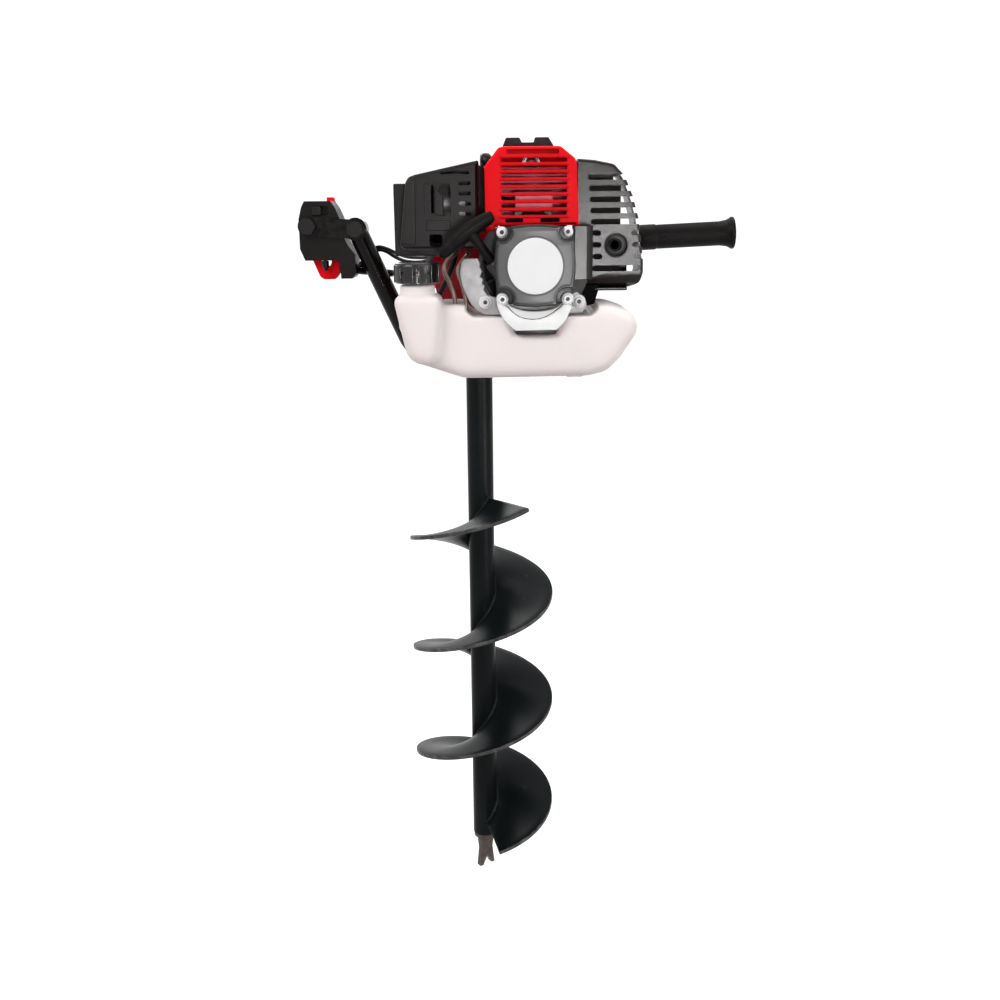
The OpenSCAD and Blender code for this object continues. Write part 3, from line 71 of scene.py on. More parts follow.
def meshOf(obj):
    bpy.context.view_layer.update()
    graph = bpy.context.evaluated_depsgraph_get()
    mesh = bpy.data.meshes.new_from_object(obj.evaluated_get(graph))
    data = obj.data
    bpy.data.objects.remove(obj)
    if isinstance(data, bpy.types.Curve):
        bpy.data.curves.remove(data)
    return mesh


def bmeshToMesh(bm, recalculate=True):
    if recalculate:
        bmesh.ops.recalc_face_normals(bm, faces=bm.faces)
    mesh = bpy.data.meshes.new("form")
    bm.to_mesh(mesh)
    bm.free()
    return mesh


def welded(mesh, distance=0.01):
    bm = bmesh.new()
    bm.from_mesh(mesh)
    bmesh.ops.remove_doubles(bm, verts=bm.verts, dist=distance * mm)
    return bmeshToMesh(bm)


def merged(meshes, ownSlots=False):
    # with own slots each mesh keeps a material slot of its own, in the order given
    bm = bmesh.new()
    for index, mesh in enumerate(meshes):
        first = len(bm.faces)
        bm.from_mesh(mesh)
        if ownSlots:
            bm.faces.ensure_lookup_table()
            for face in bm.faces[first:]:
                face.material_index = index
    return bmeshToMesh(bm, recalculate=False)


def shaded(mesh, angle=35):
    mesh.polygons.foreach_set("use_smooth", [True] * len(mesh.polygons))
    mesh.set_sharp_from_angle(angle=math.radians(angle))
    return mesh


def roundLoop(points, radius, steps=6):
    # closed outline with each corner turned into an arc
    loop = []
    for i, corner in enumerate(points):
        reach = radius[i] if isinstance(radius, (list, tuple)) else radius
        here = Vector(corner)
        back = Vector(points[i - 1]) - here
        ahead = Vector(points[(i + 1) % len(points)]) - here
        half = back.angle(ahead) / 2
        run = min(reach / math.tan(half), back.length * 0.48, ahead.length * 0.48)
        arc = run * math.tan(half)
        if arc < 0.05 or half > 1.55:
            loop.append(tuple(here))
            continue
        centre = here + (back.normalized() + ahead.normalized()).normalized() * (arc / math.sin(half))
        start = here + back.normalized() * run - centre
        end = here + ahead.normalized() * run - centre
        angle = math.atan2(start.y, start.x)
        turn = (math.atan2(end.y, end.x) - angle + math.pi) % (2 * math.pi) - math.pi
        for step in range(steps + 1):
            a = angle + turn * step / steps
            loop.append((centre.x + arc * math.cos(a), centre.y + arc * math.sin(a)))
    return loop


def insetLoop(points, distance):
    area = sum(a[0] * b[1] - b[0] * a[1] for a, b in zip(points, points[1:] + points[:1]))
    side = 1 if area > 0 else -1
    loop = []
    for i, corner in enumerate(points):
        here = Vector(corner)
        before = (here - Vector(points[i - 1])).normalized()
        after = (Vector(points[(i + 1) % len(points)]) - here).normalized()
        left = Vector((-before.y, before.x)) * side
        right = Vector((-after.y, after.x)) * side
        middle = (left + right).normalized()
        loop.append(tuple(here + middle * (distance / max(0.3, middle.dot(left)))))
    return loop


def slotLoop(x0, x1, z0, z1, steps=6, corner=None):
    reach = (z1 - z0) / 2 if corner is None else corner
    return roundLoop([(x0, z0), (x1, z0), (x1, z1), (x0, z1)], reach * 0.999, steps)


def circlePoint(radius, i, count):
    angle = 2 * math.pi * i / count
    return radius * math.cos(angle), radius * math.sin(angle)


def discLoop(x, z, radius, count=48):
    points = [circlePoint(radius, i, count) for i in range(count)]
    return [(x + px, z + pz) for px, pz in points]


def plateMesh(loops, y0, y1, bevel=0.0, bevelSteps=3):
    # flat plate in the XZ plane; the loops after the first are holes
    curve = bpy.data.curves.new("plate", "CURVE")
    curve.dimensions = "2D"
    curve.fill_mode = "BOTH"
    curve.extrude = max((y1 - y0) / 2 - bevel, 0.001) * mm
    curve.bevel_depth = bevel * mm
    curve.bevel_resolution = bevelSteps
    curve.offset = -bevel * mm
    for loop in loops:
        spline = curve.splines.new("POLY")
        spline.points.add(len(loop) - 1)
        for point, (x, z) in zip(spline.points, loop):
            point.co = (x * mm, z * mm, 0, 1)
        spline.use_cyclic_u = True
    mesh = meshOf(addObject("plate", curve))
    place = Matrix.Translation((0, (y0 + y1) / 2 * mm, 0)) @ Matrix.Rotation(math.pi / 2, 4, "X")
    mesh.transform(place)
    return welded(mesh)


def boxMesh(low, high, bevel=0.0, segments=3):
    bm = bmesh.new()
    bmesh.ops.create_cube(bm, size=1)
    for vert in bm.verts:
        for axis in range(3):
            vert.co[axis] = (low[axis] if vert.co[axis] < 0 else high[axis]) * mm
    if bevel:
        bmesh.ops.bevel(bm, geom=bm.edges[:], offset=bevel * mm, segments=segments, profile=0.5,
                        affect="EDGES")
    return bmeshToMesh(bm)


def latheMesh(profile, origin, axis=(0, 0, 1), count=64):
    # profile is (radius, height) in mm along the axis, from one end to the other
    turn = Vector((0, 0, 1)).rotation_difference(Vector(axis).normalized()).to_matrix().to_4x4()
    place = Matrix.Translation(Vector(origin) * mm) @ turn
    bm = bmesh.new()
    rings = []
    for radius, height in profile:
        if radius < 0.001:
            rings.append([bm.verts.new((0, 0, height * mm))])
            continue
        ring = [circlePoint(radius * mm, i, count) for i in range(count)]
        rings.append([bm.verts.new((x, y, height * mm)) for x, y in ring])
    for low, high in zip(rings, rings[1:]):
        for i in range(count):
            j = (i + 1) % count
            corners = [low[i % len(low)], low[j % len(low)], high[j % len(high)], high[i % len(high)]]
            face = list(dict.fromkeys(corners))
            if len(face) > 2:
                bm.faces.new(face)
    mesh = bmeshToMesh(bm)
    mesh.transform(place)
    return mesh


def smoothPath(points, per=6):
    # Catmull-Rom through the points
    pts = [Vector(p) for p in points]
    ends = [pts[0] * 2 - pts[1]] + pts + [pts[-1] * 2 - pts[-2]]
    path = []
    for a, b, c, d in zip(ends, ends[1:], ends[2:], ends[3:]):
        for step in range(per):
            t = step / per
            path.append(0.5 * (2 * b + (c - a) * t + (2 * a - 5 * b + 4 * c - d) * t * t
                               + (3 * b - a - 3 * c + d) * t ** 3))
    return path + [pts[-1]]


def sweepMesh(path, radius, sides=16, flat=1.0):
    # tube along a path; radius is one size or a function of the share along it
    bm = bmesh.new()
    rings = []
    count = len(path)
    heading = (path[1] - path[0]).normalized()
    side = heading.orthogonal().normalized()
    for i, point in enumerate(path):
        ahead = (path[min(i + 1, count - 1)] - path[max(i - 1, 0)]).normalized()
        side = (side - ahead * side.dot(ahead)).normalized()
        across = ahead.cross(side)
        size = radius(i / (count - 1)) if callable(radius) else radius
        ring = []
        for k in range(sides):
            a, b = circlePoint(size, k, sides)
            ring.append(bm.verts.new((point + side * a + across * flat * b) * mm))
        rings.append(ring)
    for low, high in zip(rings, rings[1:]):
        for k in range(sides):
            bm.faces.new([low[k], low[(k + 1) % sides], high[(k + 1) % sides], high[k]])
    bm.faces.new(rings[0])
    bm.faces.new(rings[-1])
    return bmeshToMesh(bm)


def carved(mesh, tools, operation="DIFFERENCE"):
    body = addObject("body", mesh)
    helpers = []
    for tool in tools:
        helper = addObject("tool", tool)
        step = body.modifiers.new("carve", "BOOLEAN")
        step.operation = operation
        step.solver = "MANIFOLD"
        step.object = helper
        helpers.append(helper)
    result = meshOf(body)
    for helper in helpers:
        bpy.data.objects.remove(helper)
    return result


def addBevel(obj, width, segments, angle):
    step = obj.modifiers.new("edge", "BEVEL")
    step.width = width * mm
    step.segments = segments
    step.limit_method = "ANGLE"
    step.angle_limit = math.radians(angle)


def softened(mesh, width, segments=2, angle=35):
    body = addObject("body", mesh)
    addBevel(body, width, segments, angle)
    return meshOf(body)


def hullMesh(points):
    bm = bmesh.new()
    for point in points:
        bm.verts.new(Vector(point) * mm)
    made = bmesh.ops.convex_hull(bm, input=bm.verts)
    spare = set(made["geom_interior"] + made["geom_unused"])
    loose = [item for item in spare if isinstance(item, bmesh.types.BMVert)]
    bmesh.ops.delete(bm, geom=loose, context="VERTS")
    return bmeshToMesh(bm)


def makePiece(name, mesh, looks, body, stands):
    # looks is the name of a finish, or one for each material slot
    obj = addObject(name, mesh)
    mesh.name = name
    mesh.materials.clear()
    for look in [looks] if isinstance(looks, str) else looks:
        mesh.materials.append(finish[look])
    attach(obj, body)
    if stands:
        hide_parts(*stands)
    return obj


def evened(obj):
    # wide flat faces keep their own direction beside narrow rounded edges
    even = obj.modifiers.new("even", "WEIGHTED_NORMAL")
    even.keep_sharp = True
    return obj


# Node helpers

def feed(tree, socket, value):
    # a socket takes a link, a colour or a plain constant
    if isinstance(value, bpy.types.NodeSocket):
        tree.links.new(value, socket)
    elif socket.type == "RGBA":
        socket.default_value = (*value, 1)
    else:
        socket.default_value = value


def addNode(tree, kind, values=None):
    node = tree.nodes.new(kind)
    for label, value in (values or {}).items():
        feed(tree, node.inputs[label], value)
    return node


def newTree(name, kind, inputs, outputs):
    tree = bpy.data.node_groups.new(name, kind)
    for way, sockets in (("INPUT", inputs), ("OUTPUT", outputs)):
        for label, sort in sockets.items():
            tree.interface.new_socket(name=label, in_out=way, socket_type="NodeSocket" + sort)
    start = tree.nodes.new("NodeGroupInput")
    end = tree.nodes.new("NodeGroupOutput")
    return tree, start.outputs, end.inputs


def mathNode(tree, operation, a, b=None):
    node = addNode(tree, "ShaderNodeMath", {0: a} if b is None else {0: a, 1: b})
    node.operation = operation
    return node.outputs[0]


def rangeNode(tree, value, low, high, first=0.0, last=1.0):
    sizes = {"Value": value, "From Min": low, "From Max": high, "To Min": first, "To Max": last}
    return addNode(tree, "ShaderNodeMapRange", sizes).outputs["Result"]


# Geometry node trees

def newGeometryTree(name, inputs):
    return newTree(name, "GeometryNodeTree", inputs, {"Geometry": "Geometry"})


def closeTree(tree, end, geometry, material):
    whole = addNode(tree, "GeometryNodeRealizeInstances", {"Geometry": geometry})
    paint = addNode(tree, "GeometryNodeSetMaterial", {"Geometry": whole.outputs[0], "Material": material})
    feed(tree, end["Geometry"], paint.outputs["Geometry"])
    return tree


def addTree(obj, tree, values):
    step = obj.modifiers.new("nodes", "NODES")
    step.node_group = tree
    for item in tree.interface.items_tree:
        if item.in_out == "INPUT" and item.name in values:
            step[item.identifier] = values[item.name]


def grown(tree, values):
    # runs a tree on an empty mesh and returns the plain mesh
    holder = addObject("grown", bpy.data.meshes.new("grown"))
    addTree(holder, tree, values)
    return meshOf(holder)


def splitPosition(tree):
    place = tree.nodes.new("GeometryNodeInputPosition")
    return addNode(tree, "ShaderNodeSeparateXYZ", {0: place.outputs[0]}).outputs


def makeFlightTree():
    # a flat grid wound up into a helical sheet
    sizes = dict.fromkeys(("Inner", "Outer", "Pitch", "Turns", "Start", "Base"), "Float")
    sockets = dict(sizes, Rings="Int", Steps="Int", Material="Material")
    tree, start, end = newGeometryTree("flightSheet", sockets)
    grid = addNode(tree, "GeometryNodeMeshGrid", {"Vertices X": start["Rings"], "Vertices Y": start["Steps"]})
    place = splitPosition(tree)
    across = mathNode(tree, "ADD", place["X"], 0.5)
    along = mathNode(tree, "ADD", place["Y"], 0.5)
    width = mathNode(tree, "SUBTRACT", start["Outer"], start["Inner"])
    radius = mathNode(tree, "ADD", mathNode(tree, "MULTIPLY", across, width), start["Inner"])
    wound = mathNode(tree, "MULTIPLY", along, start["Turns"])
    angle = mathNode(tree, "ADD", mathNode(tree, "MULTIPLY", wound, 2 * math.pi), start["Start"])
    height = mathNode(tree, "ADD", mathNode(tree, "MULTIPLY", wound, start["Pitch"]), start["Base"])
    point = addNode(tree, "ShaderNodeCombineXYZ", {
        "X": mathNode(tree, "MULTIPLY", radius, mathNode(tree, "COSINE", angle)),
        "Y": mathNode(tree, "MULTIPLY", radius, mathNode(tree, "SINE", angle)),
        "Z": height})
    move = addNode(tree, "GeometryNodeSetPosition", {
        "Geometry": grid.outputs["Mesh"], "Position": point.outputs[0]})
    return closeTree(tree, end, move.outputs["Geometry"], start["Material"])


def partsOnPoints(tree, start, end, points, turn=None):
    part = addNode(tree, "GeometryNodeObjectInfo", {"Object": start["Part"]})
    copies = addNode(tree, "GeometryNodeInstanceOnPoints", {
        "Points": points, "Instance": part.outputs["Geometry"]})
    if turn:
        feed(tree, copies.inputs["Rotation"], turn)
    return closeTree(tree, end, copies.outputs["Instances"], start["Material"])


def makeRingTree():
    tree, start, end = newGeometryTree("ringOfParts", {
        "Part": "Object", "Count": "Int", "Radius": "Float", "Material": "Material"})
    circle = addNode(tree, "GeometryNodeMeshCircle", {"Vertices": start["Count"], "Radius": start["Radius"]})
    place = splitPosition(tree)
    turn = addNode(tree, "ShaderNodeCombineXYZ", {"Z": mathNode(tree, "ARCTAN2", place["Y"], place["X"])})
    return partsOnPoints(tree, start, end, circle.outputs["Mesh"], turn.outputs[0])


def makeRowTree():
    tree, start, end = newGeometryTree("rowOfParts", {
        "Part": "Object", "Count": "Int", "Step": "Vector", "Material": "Material"})
    line = addNode(tree, "GeometryNodeMeshLine", {"Count": start["Count"], "Offset": start["Step"]})
    line.mode = "OFFSET"
    return partsOnPoints(tree, start, end, line.outputs["Mesh"])


def repeated(tree, part, values):
    helper = addObject("part", part)
    mesh = grown(tree, dict(values, Part=helper))
    bpy.data.objects.remove(helper)
    return mesh


def makeSmoothTree():
    tree, start, end = newGeometryTree("smoothByAngle", {"Geometry": "Geometry", "Angle": "Float"})
    faces = addNode(tree, "GeometryNodeSetShadeSmooth", {"Geometry": start["Geometry"]})
    faces.domain = "FACE"
    angle = tree.nodes.new("GeometryNodeInputMeshEdgeAngle").outputs["Unsigned Angle"]
    sharp = mathNode(tree, "GREATER_THAN", angle, start["Angle"])
    edges = addNode(tree, "GeometryNodeSetShadeSmooth", {
        "Geometry": faces.outputs["Geometry"], "Selection": sharp, "Shade Smooth": False})
    edges.domain = "EDGE"
    feed(tree, end["Geometry"], edges.outputs["Geometry"])
    return tree


flightTree = makeFlightTree()
ringTree = makeRingTree()
rowTree = makeRowTree()
smoothTree = makeSmoothTree()
print("node trees built")


# Finishes

def noiseNode(tree, scale, detail=4.0, stretch=None):
    where = tree.nodes.new("ShaderNodeTexCoord").outputs["Object"]
    if stretch:
        where = addNode(tree, "ShaderNodeMapping", {"Vector": where, "Scale": stretch}).outputs[0]
    sizes = {"Vector": where, "Scale": scale, "Detail": detail}
    return addNode(tree, "ShaderNodeTexNoise", sizes).outputs["Fac"]


def mixColour(tree, factor, a, b):
    node = tree.nodes.new("ShaderNodeMix")
    node.data_type = "RGBA"
    for index, value in ((0, factor), (6, a), (7, b)):
        feed(tree, node.inputs[index], value)
    return node.outputs[2]


def makeSkinGroup():
    # cloudy tone, uneven gloss and a fine grain
    sizes = dict.fromkeys(("Shade", "Cloud", "Grain", "Gloss", "Spread"), "Float")
    tree, start, end = newTree("skin", "ShaderNodeTree", dict(sizes, Tone="Color"), {
        "Colour": "Color", "Roughness": "Float", "Height": "Float"})
    cloud = noiseNode(tree, start["Cloud"])
    dim = mathNode(tree, "MULTIPLY", rangeNode(tree, cloud, 0.3, 0.7), start["Shade"])
    spread = mathNode(tree, "MULTIPLY", mathNode(tree, "SUBTRACT", cloud, 0.5), start["Spread"])
    feed(tree, end["Colour"], mixColour(tree, dim, start["Tone"], (0, 0, 0)))
    feed(tree, end["Roughness"], mathNode(tree, "ADD", spread, start["Gloss"]))
    feed(tree, end["Height"], noiseNode(tree, start["Grain"], 2.0))
    return tree


def newMaskGroup(name):
    return newTree(name, "ShaderNodeTree", {"Amount": "Float", "Scale": "Float"}, {"Mask": "Float"})


def makeWearGroup():
    # rubbed edges and stray scuffs
    tree, start, end = newMaskGroup("wear")
    edge = tree.nodes.new("ShaderNodeNewGeometry").outputs["Pointiness"]
    patch = rangeNode(tree, noiseNode(tree, start["Scale"], 6.0), 0.42, 0.62)
    rubbed = mathNode(tree, "MULTIPLY", rangeNode(tree, edge, 0.53, 0.62), patch)
    scuff = rangeNode(tree, noiseNode(tree, start["Scale"], 8.0, (1, 1, 0.15)), 0.66, 0.74, 0.0, 0.5)
    both = mathNode(tree, "MAXIMUM", rubbed, scuff)
    feed(tree, end["Mask"], mathNode(tree, "MULTIPLY", both, start["Amount"]))
    return tree


def makeDustGroup():
    # pale dust that settles on what faces up
    tree, start, end = newMaskGroup("dust")
    normal = tree.nodes.new("ShaderNodeNewGeometry").outputs["Normal"]
    split = addNode(tree, "ShaderNodeSeparateXYZ", {0: normal}).outputs
    patch = rangeNode(tree, noiseNode(tree, start["Scale"], 5.0), 0.4, 0.7)
    both = mathNode(tree, "MULTIPLY", rangeNode(tree, split["Z"], 0.2, 1.0), patch)
    feed(tree, end["Mask"], mathNode(tree, "MULTIPLY", both, start["Amount"]))
    return tree


skinGroup = makeSkinGroup()
wearGroup = makeWearGroup()
dustGroup = makeDustGroup()


def placeGroup(tree, group, values):
    node = tree.nodes.new("ShaderNodeGroup")
    node.node_tree = group
    for label, value in values.items():
        feed(tree, node.inputs[label], value)
    return node.outputs


usual = {"metal": 0.0, "shine": 0.4, "shade": 0.2, "cloud": 40.0, "grain": 900.0, "spread": 0.12,
         "bump": 0.15, "bumpDepth": 0.0004, "coat": 0.0, "coatGloss": 0.08,
         "soft": 0.0, "softReach": (0.012, 0.007, 0.006), "softScale": 1.0,
         "dust": 0.0, "dustTone": (0.45, 0.40, 0.36), "dustScale": 60.0, "wear": 0.0, "wearScale": 120.0}


def makeFinish(name, special):
    # a finish names its tone, its gloss and whatever isn't as usual; wear also needs a wornTone
    look = dict(usual, **special)
    material = bpy.data.materials.new(name)
    material.use_nodes = True
    tree = material.node_tree
    labels = ("Tone", "Shade", "Cloud", "Grain", "Gloss", "Spread")
    skin = placeGroup(tree, skinGroup, {label: look[label.lower()] for label in labels})
    colour = skin["Colour"]
    if look["dust"]:
        dust = placeGroup(tree, dustGroup, {"Amount": look["dust"], "Scale": look["dustScale"]})
        colour = mixColour(tree, dust["Mask"], colour, look["dustTone"])
    if look["wear"]:
        wear = placeGroup(tree, wearGroup, {"Amount": look["wear"], "Scale": look["wearScale"]})
        colour = mixColour(tree, wear["Mask"], colour, look["wornTone"])
    bump = addNode(tree, "ShaderNodeBump", {
        "Strength": look["bump"], "Distance": look["bumpDepth"], "Height": skin["Height"]})
    sockets = {"Base Color": colour, "Roughness": skin["Roughness"], "Normal": bump.outputs["Normal"],
               "Metallic": look["metal"], "Specular IOR Level": look["shine"], "Coat Weight": look["coat"],
               "Coat Roughness": look["coatGloss"], "Subsurface Weight": look["soft"],
               "Subsurface Radius": look["softReach"], "Subsurface Scale": look["softScale"]}
    for label, value in sockets.items():
        feed(tree, tree.nodes["Principled BSDF"].inputs[label], value)
    return material


# Dark mouldings share their grain

moulded = dict(shade=0.3, cloud=22.0, grain=1100.0, bump=0.2)

finishes = {
    "bit_paint": dict(tone=(0.0060, 0.0080, 0.0088), gloss=0.30, shine=0.06, shade=0.35, cloud=18.0,
                      bump=0.25, wear=0.35, wornTone=(0.06, 0.06, 0.057), wearScale=60.0),
    "bit_point": dict(tone=(0.085, 0.065, 0.055), gloss=0.55, metal=0.3, shade=0.6, cloud=120.0, grain=500.0,
                      bump=0.8, wear=0.7, wornTone=(0.40, 0.34, 0.30)),
    "zinc_steel": dict(tone=(0.74, 0.73, 0.73), gloss=0.26, metal=0.45, shine=0.6, shade=0.15, cloud=160.0,
                       wear=0.2, wornTone=(0.5, 0.48, 0.46)),
    "bright_steel": dict(tone=(0.80, 0.79, 0.79), gloss=0.42, metal=0.05, shine=0.08, shade=0.05, cloud=90.0),
    "ground_steel": dict(tone=(0.55, 0.55, 0.57), gloss=0.25, metal=1.0),
    "bronze": dict(tone=(0.60, 0.38, 0.16), gloss=0.32, metal=1.0, shade=0.25),
    "red_paint": dict(tone=(0.42, 0.004, 0.014), gloss=0.38, shine=0.15, shade=0.35, cloud=30.0, dust=0.08,
                      wear=0.2, wornTone=(0.45, 0.15, 0.15)),
    "black_steel": dict(tone=(0.0045, 0.0033, 0.0030), gloss=0.16, shine=0.1, shade=0.3, cloud=25.0,
                        bump=0.03, coat=0.05, wear=0.15, wornTone=(0.08, 0.07, 0.065)),
    "dark_bolt": dict(tone=(0.012, 0.010, 0.0095), gloss=0.34, shine=0.16, shade=0.35, cloud=140.0, wear=0.12,
                      wornTone=(0.07, 0.065, 0.06)),
    "deep_plastic": dict(tone=(0.0085, 0.0062, 0.0056), gloss=0.40, shine=0.1, shade=0.3, cloud=30.0,
                         grain=1100.0, bump=0.2, dust=0.04, dustTone=(0.06, 0.05, 0.045)),
    "cap_plastic": dict(tone=(0.009, 0.0075, 0.007), gloss=0.2, shine=0.3, shade=0.25, cloud=30.0, coat=0.2),
    "grip_rubber": dict(tone=(0.0075, 0.0055, 0.0055), gloss=0.42, shine=0.06, shade=0.3, grain=1400.0,
                        bump=0.3, dust=0.06, dustTone=(0.10, 0.085, 0.085)),
    "black_plastic": dict(moulded, tone=(0.0130, 0.0095, 0.0088), gloss=0.36, shine=0.14, dust=0.10,
                          dustTone=(0.14, 0.12, 0.115)),
    "red_plastic": dict(tone=(0.97, 0.006, 0.012), gloss=0.42, shine=0.03, shade=0.12, cloud=20.0, bump=0.1,
                        soft=0.5),
    "cast_aluminium": dict(tone=(0.38, 0.37, 0.375), gloss=0.46, metal=0.3, shade=0.25, cloud=90.0,
                           grain=700.0, bump=0.6),
    "dark_aluminium": dict(tone=(0.022, 0.021, 0.021), gloss=0.5, metal=0.6, shade=0.3, grain=700.0,
                           bump=0.5),
    "muffler_steel": dict(tone=(0.012, 0.010, 0.0095), gloss=0.6, shine=0.08, shade=0.4, cloud=50.0),
    # aluminium tinted crimson: painted reflection of the red light bouncing inside the red cover
    "aluminium_painted_red_bounce": dict(tone=(0.62, 0.12, 0.16), gloss=0.5, metal=0.25, shade=0.3, cloud=60.0),
    "guard_plastic": dict(moulded, tone=(0.020, 0.0152, 0.0142), gloss=0.26, shine=0.13, dust=0.08,
                          dustTone=(0.12, 0.10, 0.095)),
    "filter_plastic": dict(moulded, tone=(0.0125, 0.0098, 0.0092), gloss=0.40, shine=0.14, dust=0.06,
                           dustTone=(0.10, 0.085, 0.08)),
    "matt_black": dict(tone=(0.004, 0.0035, 0.0033), gloss=0.8, shine=0.05),
    "tank_plastic": dict(tone=(0.865, 0.79, 0.78), gloss=0.42, shine=0.12, shade=0.05, cloud=12.0,
                         grain=500.0, bump=0.06, soft=0.35),
    "hose_plastic": dict(tone=(0.30, 0.21, 0.17), gloss=0.22, shade=0.35, cloud=90.0),
    "cable_sheath": dict(tone=(0.007, 0.006, 0.006), gloss=0.32, shine=0.15, shade=0.25, bump=0.2),
    "primer_rubber": dict(tone=(0.05, 0.045, 0.04), gloss=0.25),
    "filter_foam": dict(tone=(0.05, 0.052, 0.045), gloss=0.9, shade=0.5, cloud=300.0, grain=700.0, bump=0.9),
    "spring_steel": dict(tone=(0.30, 0.31, 0.33), gloss=0.3, metal=1.0),
    "nylon": dict(tone=(0.70, 0.68, 0.63), gloss=0.45, shade=0.1),
    "heat_plastic": dict(tone=(0.02, 0.016, 0.015), gloss=0.42, shade=0.25),
    "starter_plastic": dict(tone=(0.020, 0.018, 0.018), gloss=0.27, shine=0.25, shade=0.15, cloud=20.0,
                            bump=0.1),
    # lighter copy of the starter's black plastic for its front face: painted sheen of the lamps on the face
    "starter_grey": dict(tone=(0.10, 0.096, 0.098), gloss=0.32, shine=0.25, cloud=12.0, bump=0.06),
    "label_white": dict(tone=(0.83, 0.83, 0.835), gloss=0.5, shine=0.1, shade=0.03, bump=0.02),
    "rope_fibre": dict(tone=(0.06, 0.055, 0.055), gloss=0.8, shade=0.4, cloud=400.0, bump=0.6),
}
finish = {name: makeFinish(name, look) for name, look in finishes.items()}
print("finishes made:", len(finish))


def makeFlightFinish(edge):
    # painted flight with a bright rubbed rim, by distance from the bit's axis
    material = makeFinish("flight_paint", finishes["bit_paint"])
    tree = material.node_tree
    base = tree.nodes["Principled BSDF"].inputs["Base Color"]
    where = tree.nodes.new("ShaderNodeTexCoord").outputs["Object"]
    place = addNode(tree, "ShaderNodeSeparateXYZ", {0: where}).outputs
    square = mathNode(tree, "ADD", mathNode(tree, "MULTIPLY", place["X"], place["X"]),
                      mathNode(tree, "MULTIPLY", place["Y"], place["Y"]))
    ragged = mathNode(tree, "SUBTRACT", noiseNode(tree, edge["ragScale"], 6.0), 0.5)
    reach = mathNode(tree, "ADD", mathNode(tree, "SQRT", square),
                     mathNode(tree, "MULTIPLY", ragged, edge["ragged"] * mm))
    rim = rangeNode(tree, reach, (edge["outer"] - edge["width"]) * mm, edge["outer"] * mm)
    patch = rangeNode(tree, noiseNode(tree, edge["patchScale"]), 0.3, 0.6, 0.35, 1.0)
    mask = mathNode(tree, "MULTIPLY", rim, patch)
    feed(tree, base, mixColour(tree, mask, base.links[0].from_socket, edge["tone"]))
    return material


# Bit

bit = {"tubeRadius": 16.4, "outer": 94.5, "thick": 5.0, "pitch": 153.0, "turns": 3.08, "start": 282.0,
       "base": 72.0, "stepsPerTurn": 96, "rings": 8, "bevel": 0.9, "bevelAngle": 50.0,
       "beadRing": 17.2, "beadRadius": 2.6, "beadRipple": 0.16, "beadWaves": 700.0,
       "edge": {"outer": 95.2, "width": 2.0, "ragged": 3.0, "ragScale": 90.0, "patchScale": 35.0,
                "tone": (0.16, 0.155, 0.15)}}


def makeFlight():
    finish["flight_paint"] = makeFlightFinish(bit["edge"])
    steps = int(bit["stepsPerTurn"] * bit["turns"])
    start = math.radians(bit["start"])
    holder = addObject("flight", grown(flightTree, {
        "Inner": bit["tubeRadius"] * mm, "Outer": bit["outer"] * mm, "Pitch": bit["pitch"] * mm,
        "Turns": bit["turns"], "Start": start, "Base": bit["base"] * mm,
        "Rings": bit["rings"], "Steps": steps, "Material": finish["flight_paint"]}))
    wall = holder.modifiers.new("wall", "SOLIDIFY")
    wall.thickness = bit["thick"] * mm
    wall.offset = 0
    addBevel(holder, bit["bevel"], 2, bit["bevelAngle"])
    makePiece("augerFlight", shaded(meshOf(holder), 40), "flight_paint", "drill", ["auger_flight"])
    # weld bead where the flight meets the tube
    path = []
    for i in range(steps + 1):
        angle = start + 2 * math.pi * bit["turns"] * i / steps
        height = bit["base"] + bit["pitch"] * bit["turns"] * i / steps + bit["thick"] / 2
        path.append(Vector((bit["beadRing"] * math.cos(angle), bit["beadRing"] * math.sin(angle), height)))

    def beadRadius(t):
        return bit["beadRadius"] * (1 + bit["beadRipple"] * math.sin(bit["beadWaves"] * t))

    bead = shaded(sweepMesh(path, beadRadius, 10), 60)
    makePiece("weldBead", bead, "bit_paint", "drill", [])


makeFlight()
print("bit made")


# Fuel tank and its cap

tank = {"front": -222.0, "rear": -108.0, "edge": 14.0, "voxel": 1.7, "smooth": 10, "over": 30.0,
        "discs": [(-68, 788, 14), (-34, 795, 13.5), (-52, 760.5, 17), (-8, 757, 27.4), (120, 750.5, 19.5),
                  (132.8, 753.9, 19.5), (142, 763.2, 19.5), (145.5, 776, 19.5), (155.5, 783.5, 19.5),
                  (143, 794, 13.5)],
        "columnFront": -236.0, "columnRear": -172.0,
        "column": [(-76.2, 812.5, 8.5), (-44, 811.5, 8.5), (-56, 766, 19), (-54, 764, 18)],
        "shelf": [(-10, 850), (-10, 802), (-2, 796), (124, 796), (132, 802), (132, 850)],
        "well": [(24, 797), (34, 778), (94, 778), (104, 797)], "wellFront": -206.0,
        "notch": (43, 87, 778, 797), "pocket": [(27, 806), (41, 774), (89, 774), (103, 806)],
        "pocketDeep": 2.6, "feet": [((-10, -192, 727), (12, -152, 745)), ((98, -192, 727), (120, -152, 750))],
        "feetEdge": 2.0, "neck": (-61.0, -212.0), "neckRadius": 18.8, "neckLow": 780.0, "neckTop": 831.0}


def roundedDiscs(discs, y0, y1, edge):
    points = []
    for x, z, r in discs:
        soft = min(edge, r * 0.85)
        for step in range(5):
            a = math.radians(90 * step / 4)
            radius = r - soft * (1 - math.sin(a))
            inset = soft * (1 - math.cos(a))
            for px, pz in discLoop(x, z, max(radius, 0.5), 40):
                points.append((px, y0 + inset, pz))
                points.append((px, y1 - inset, pz))
    return points


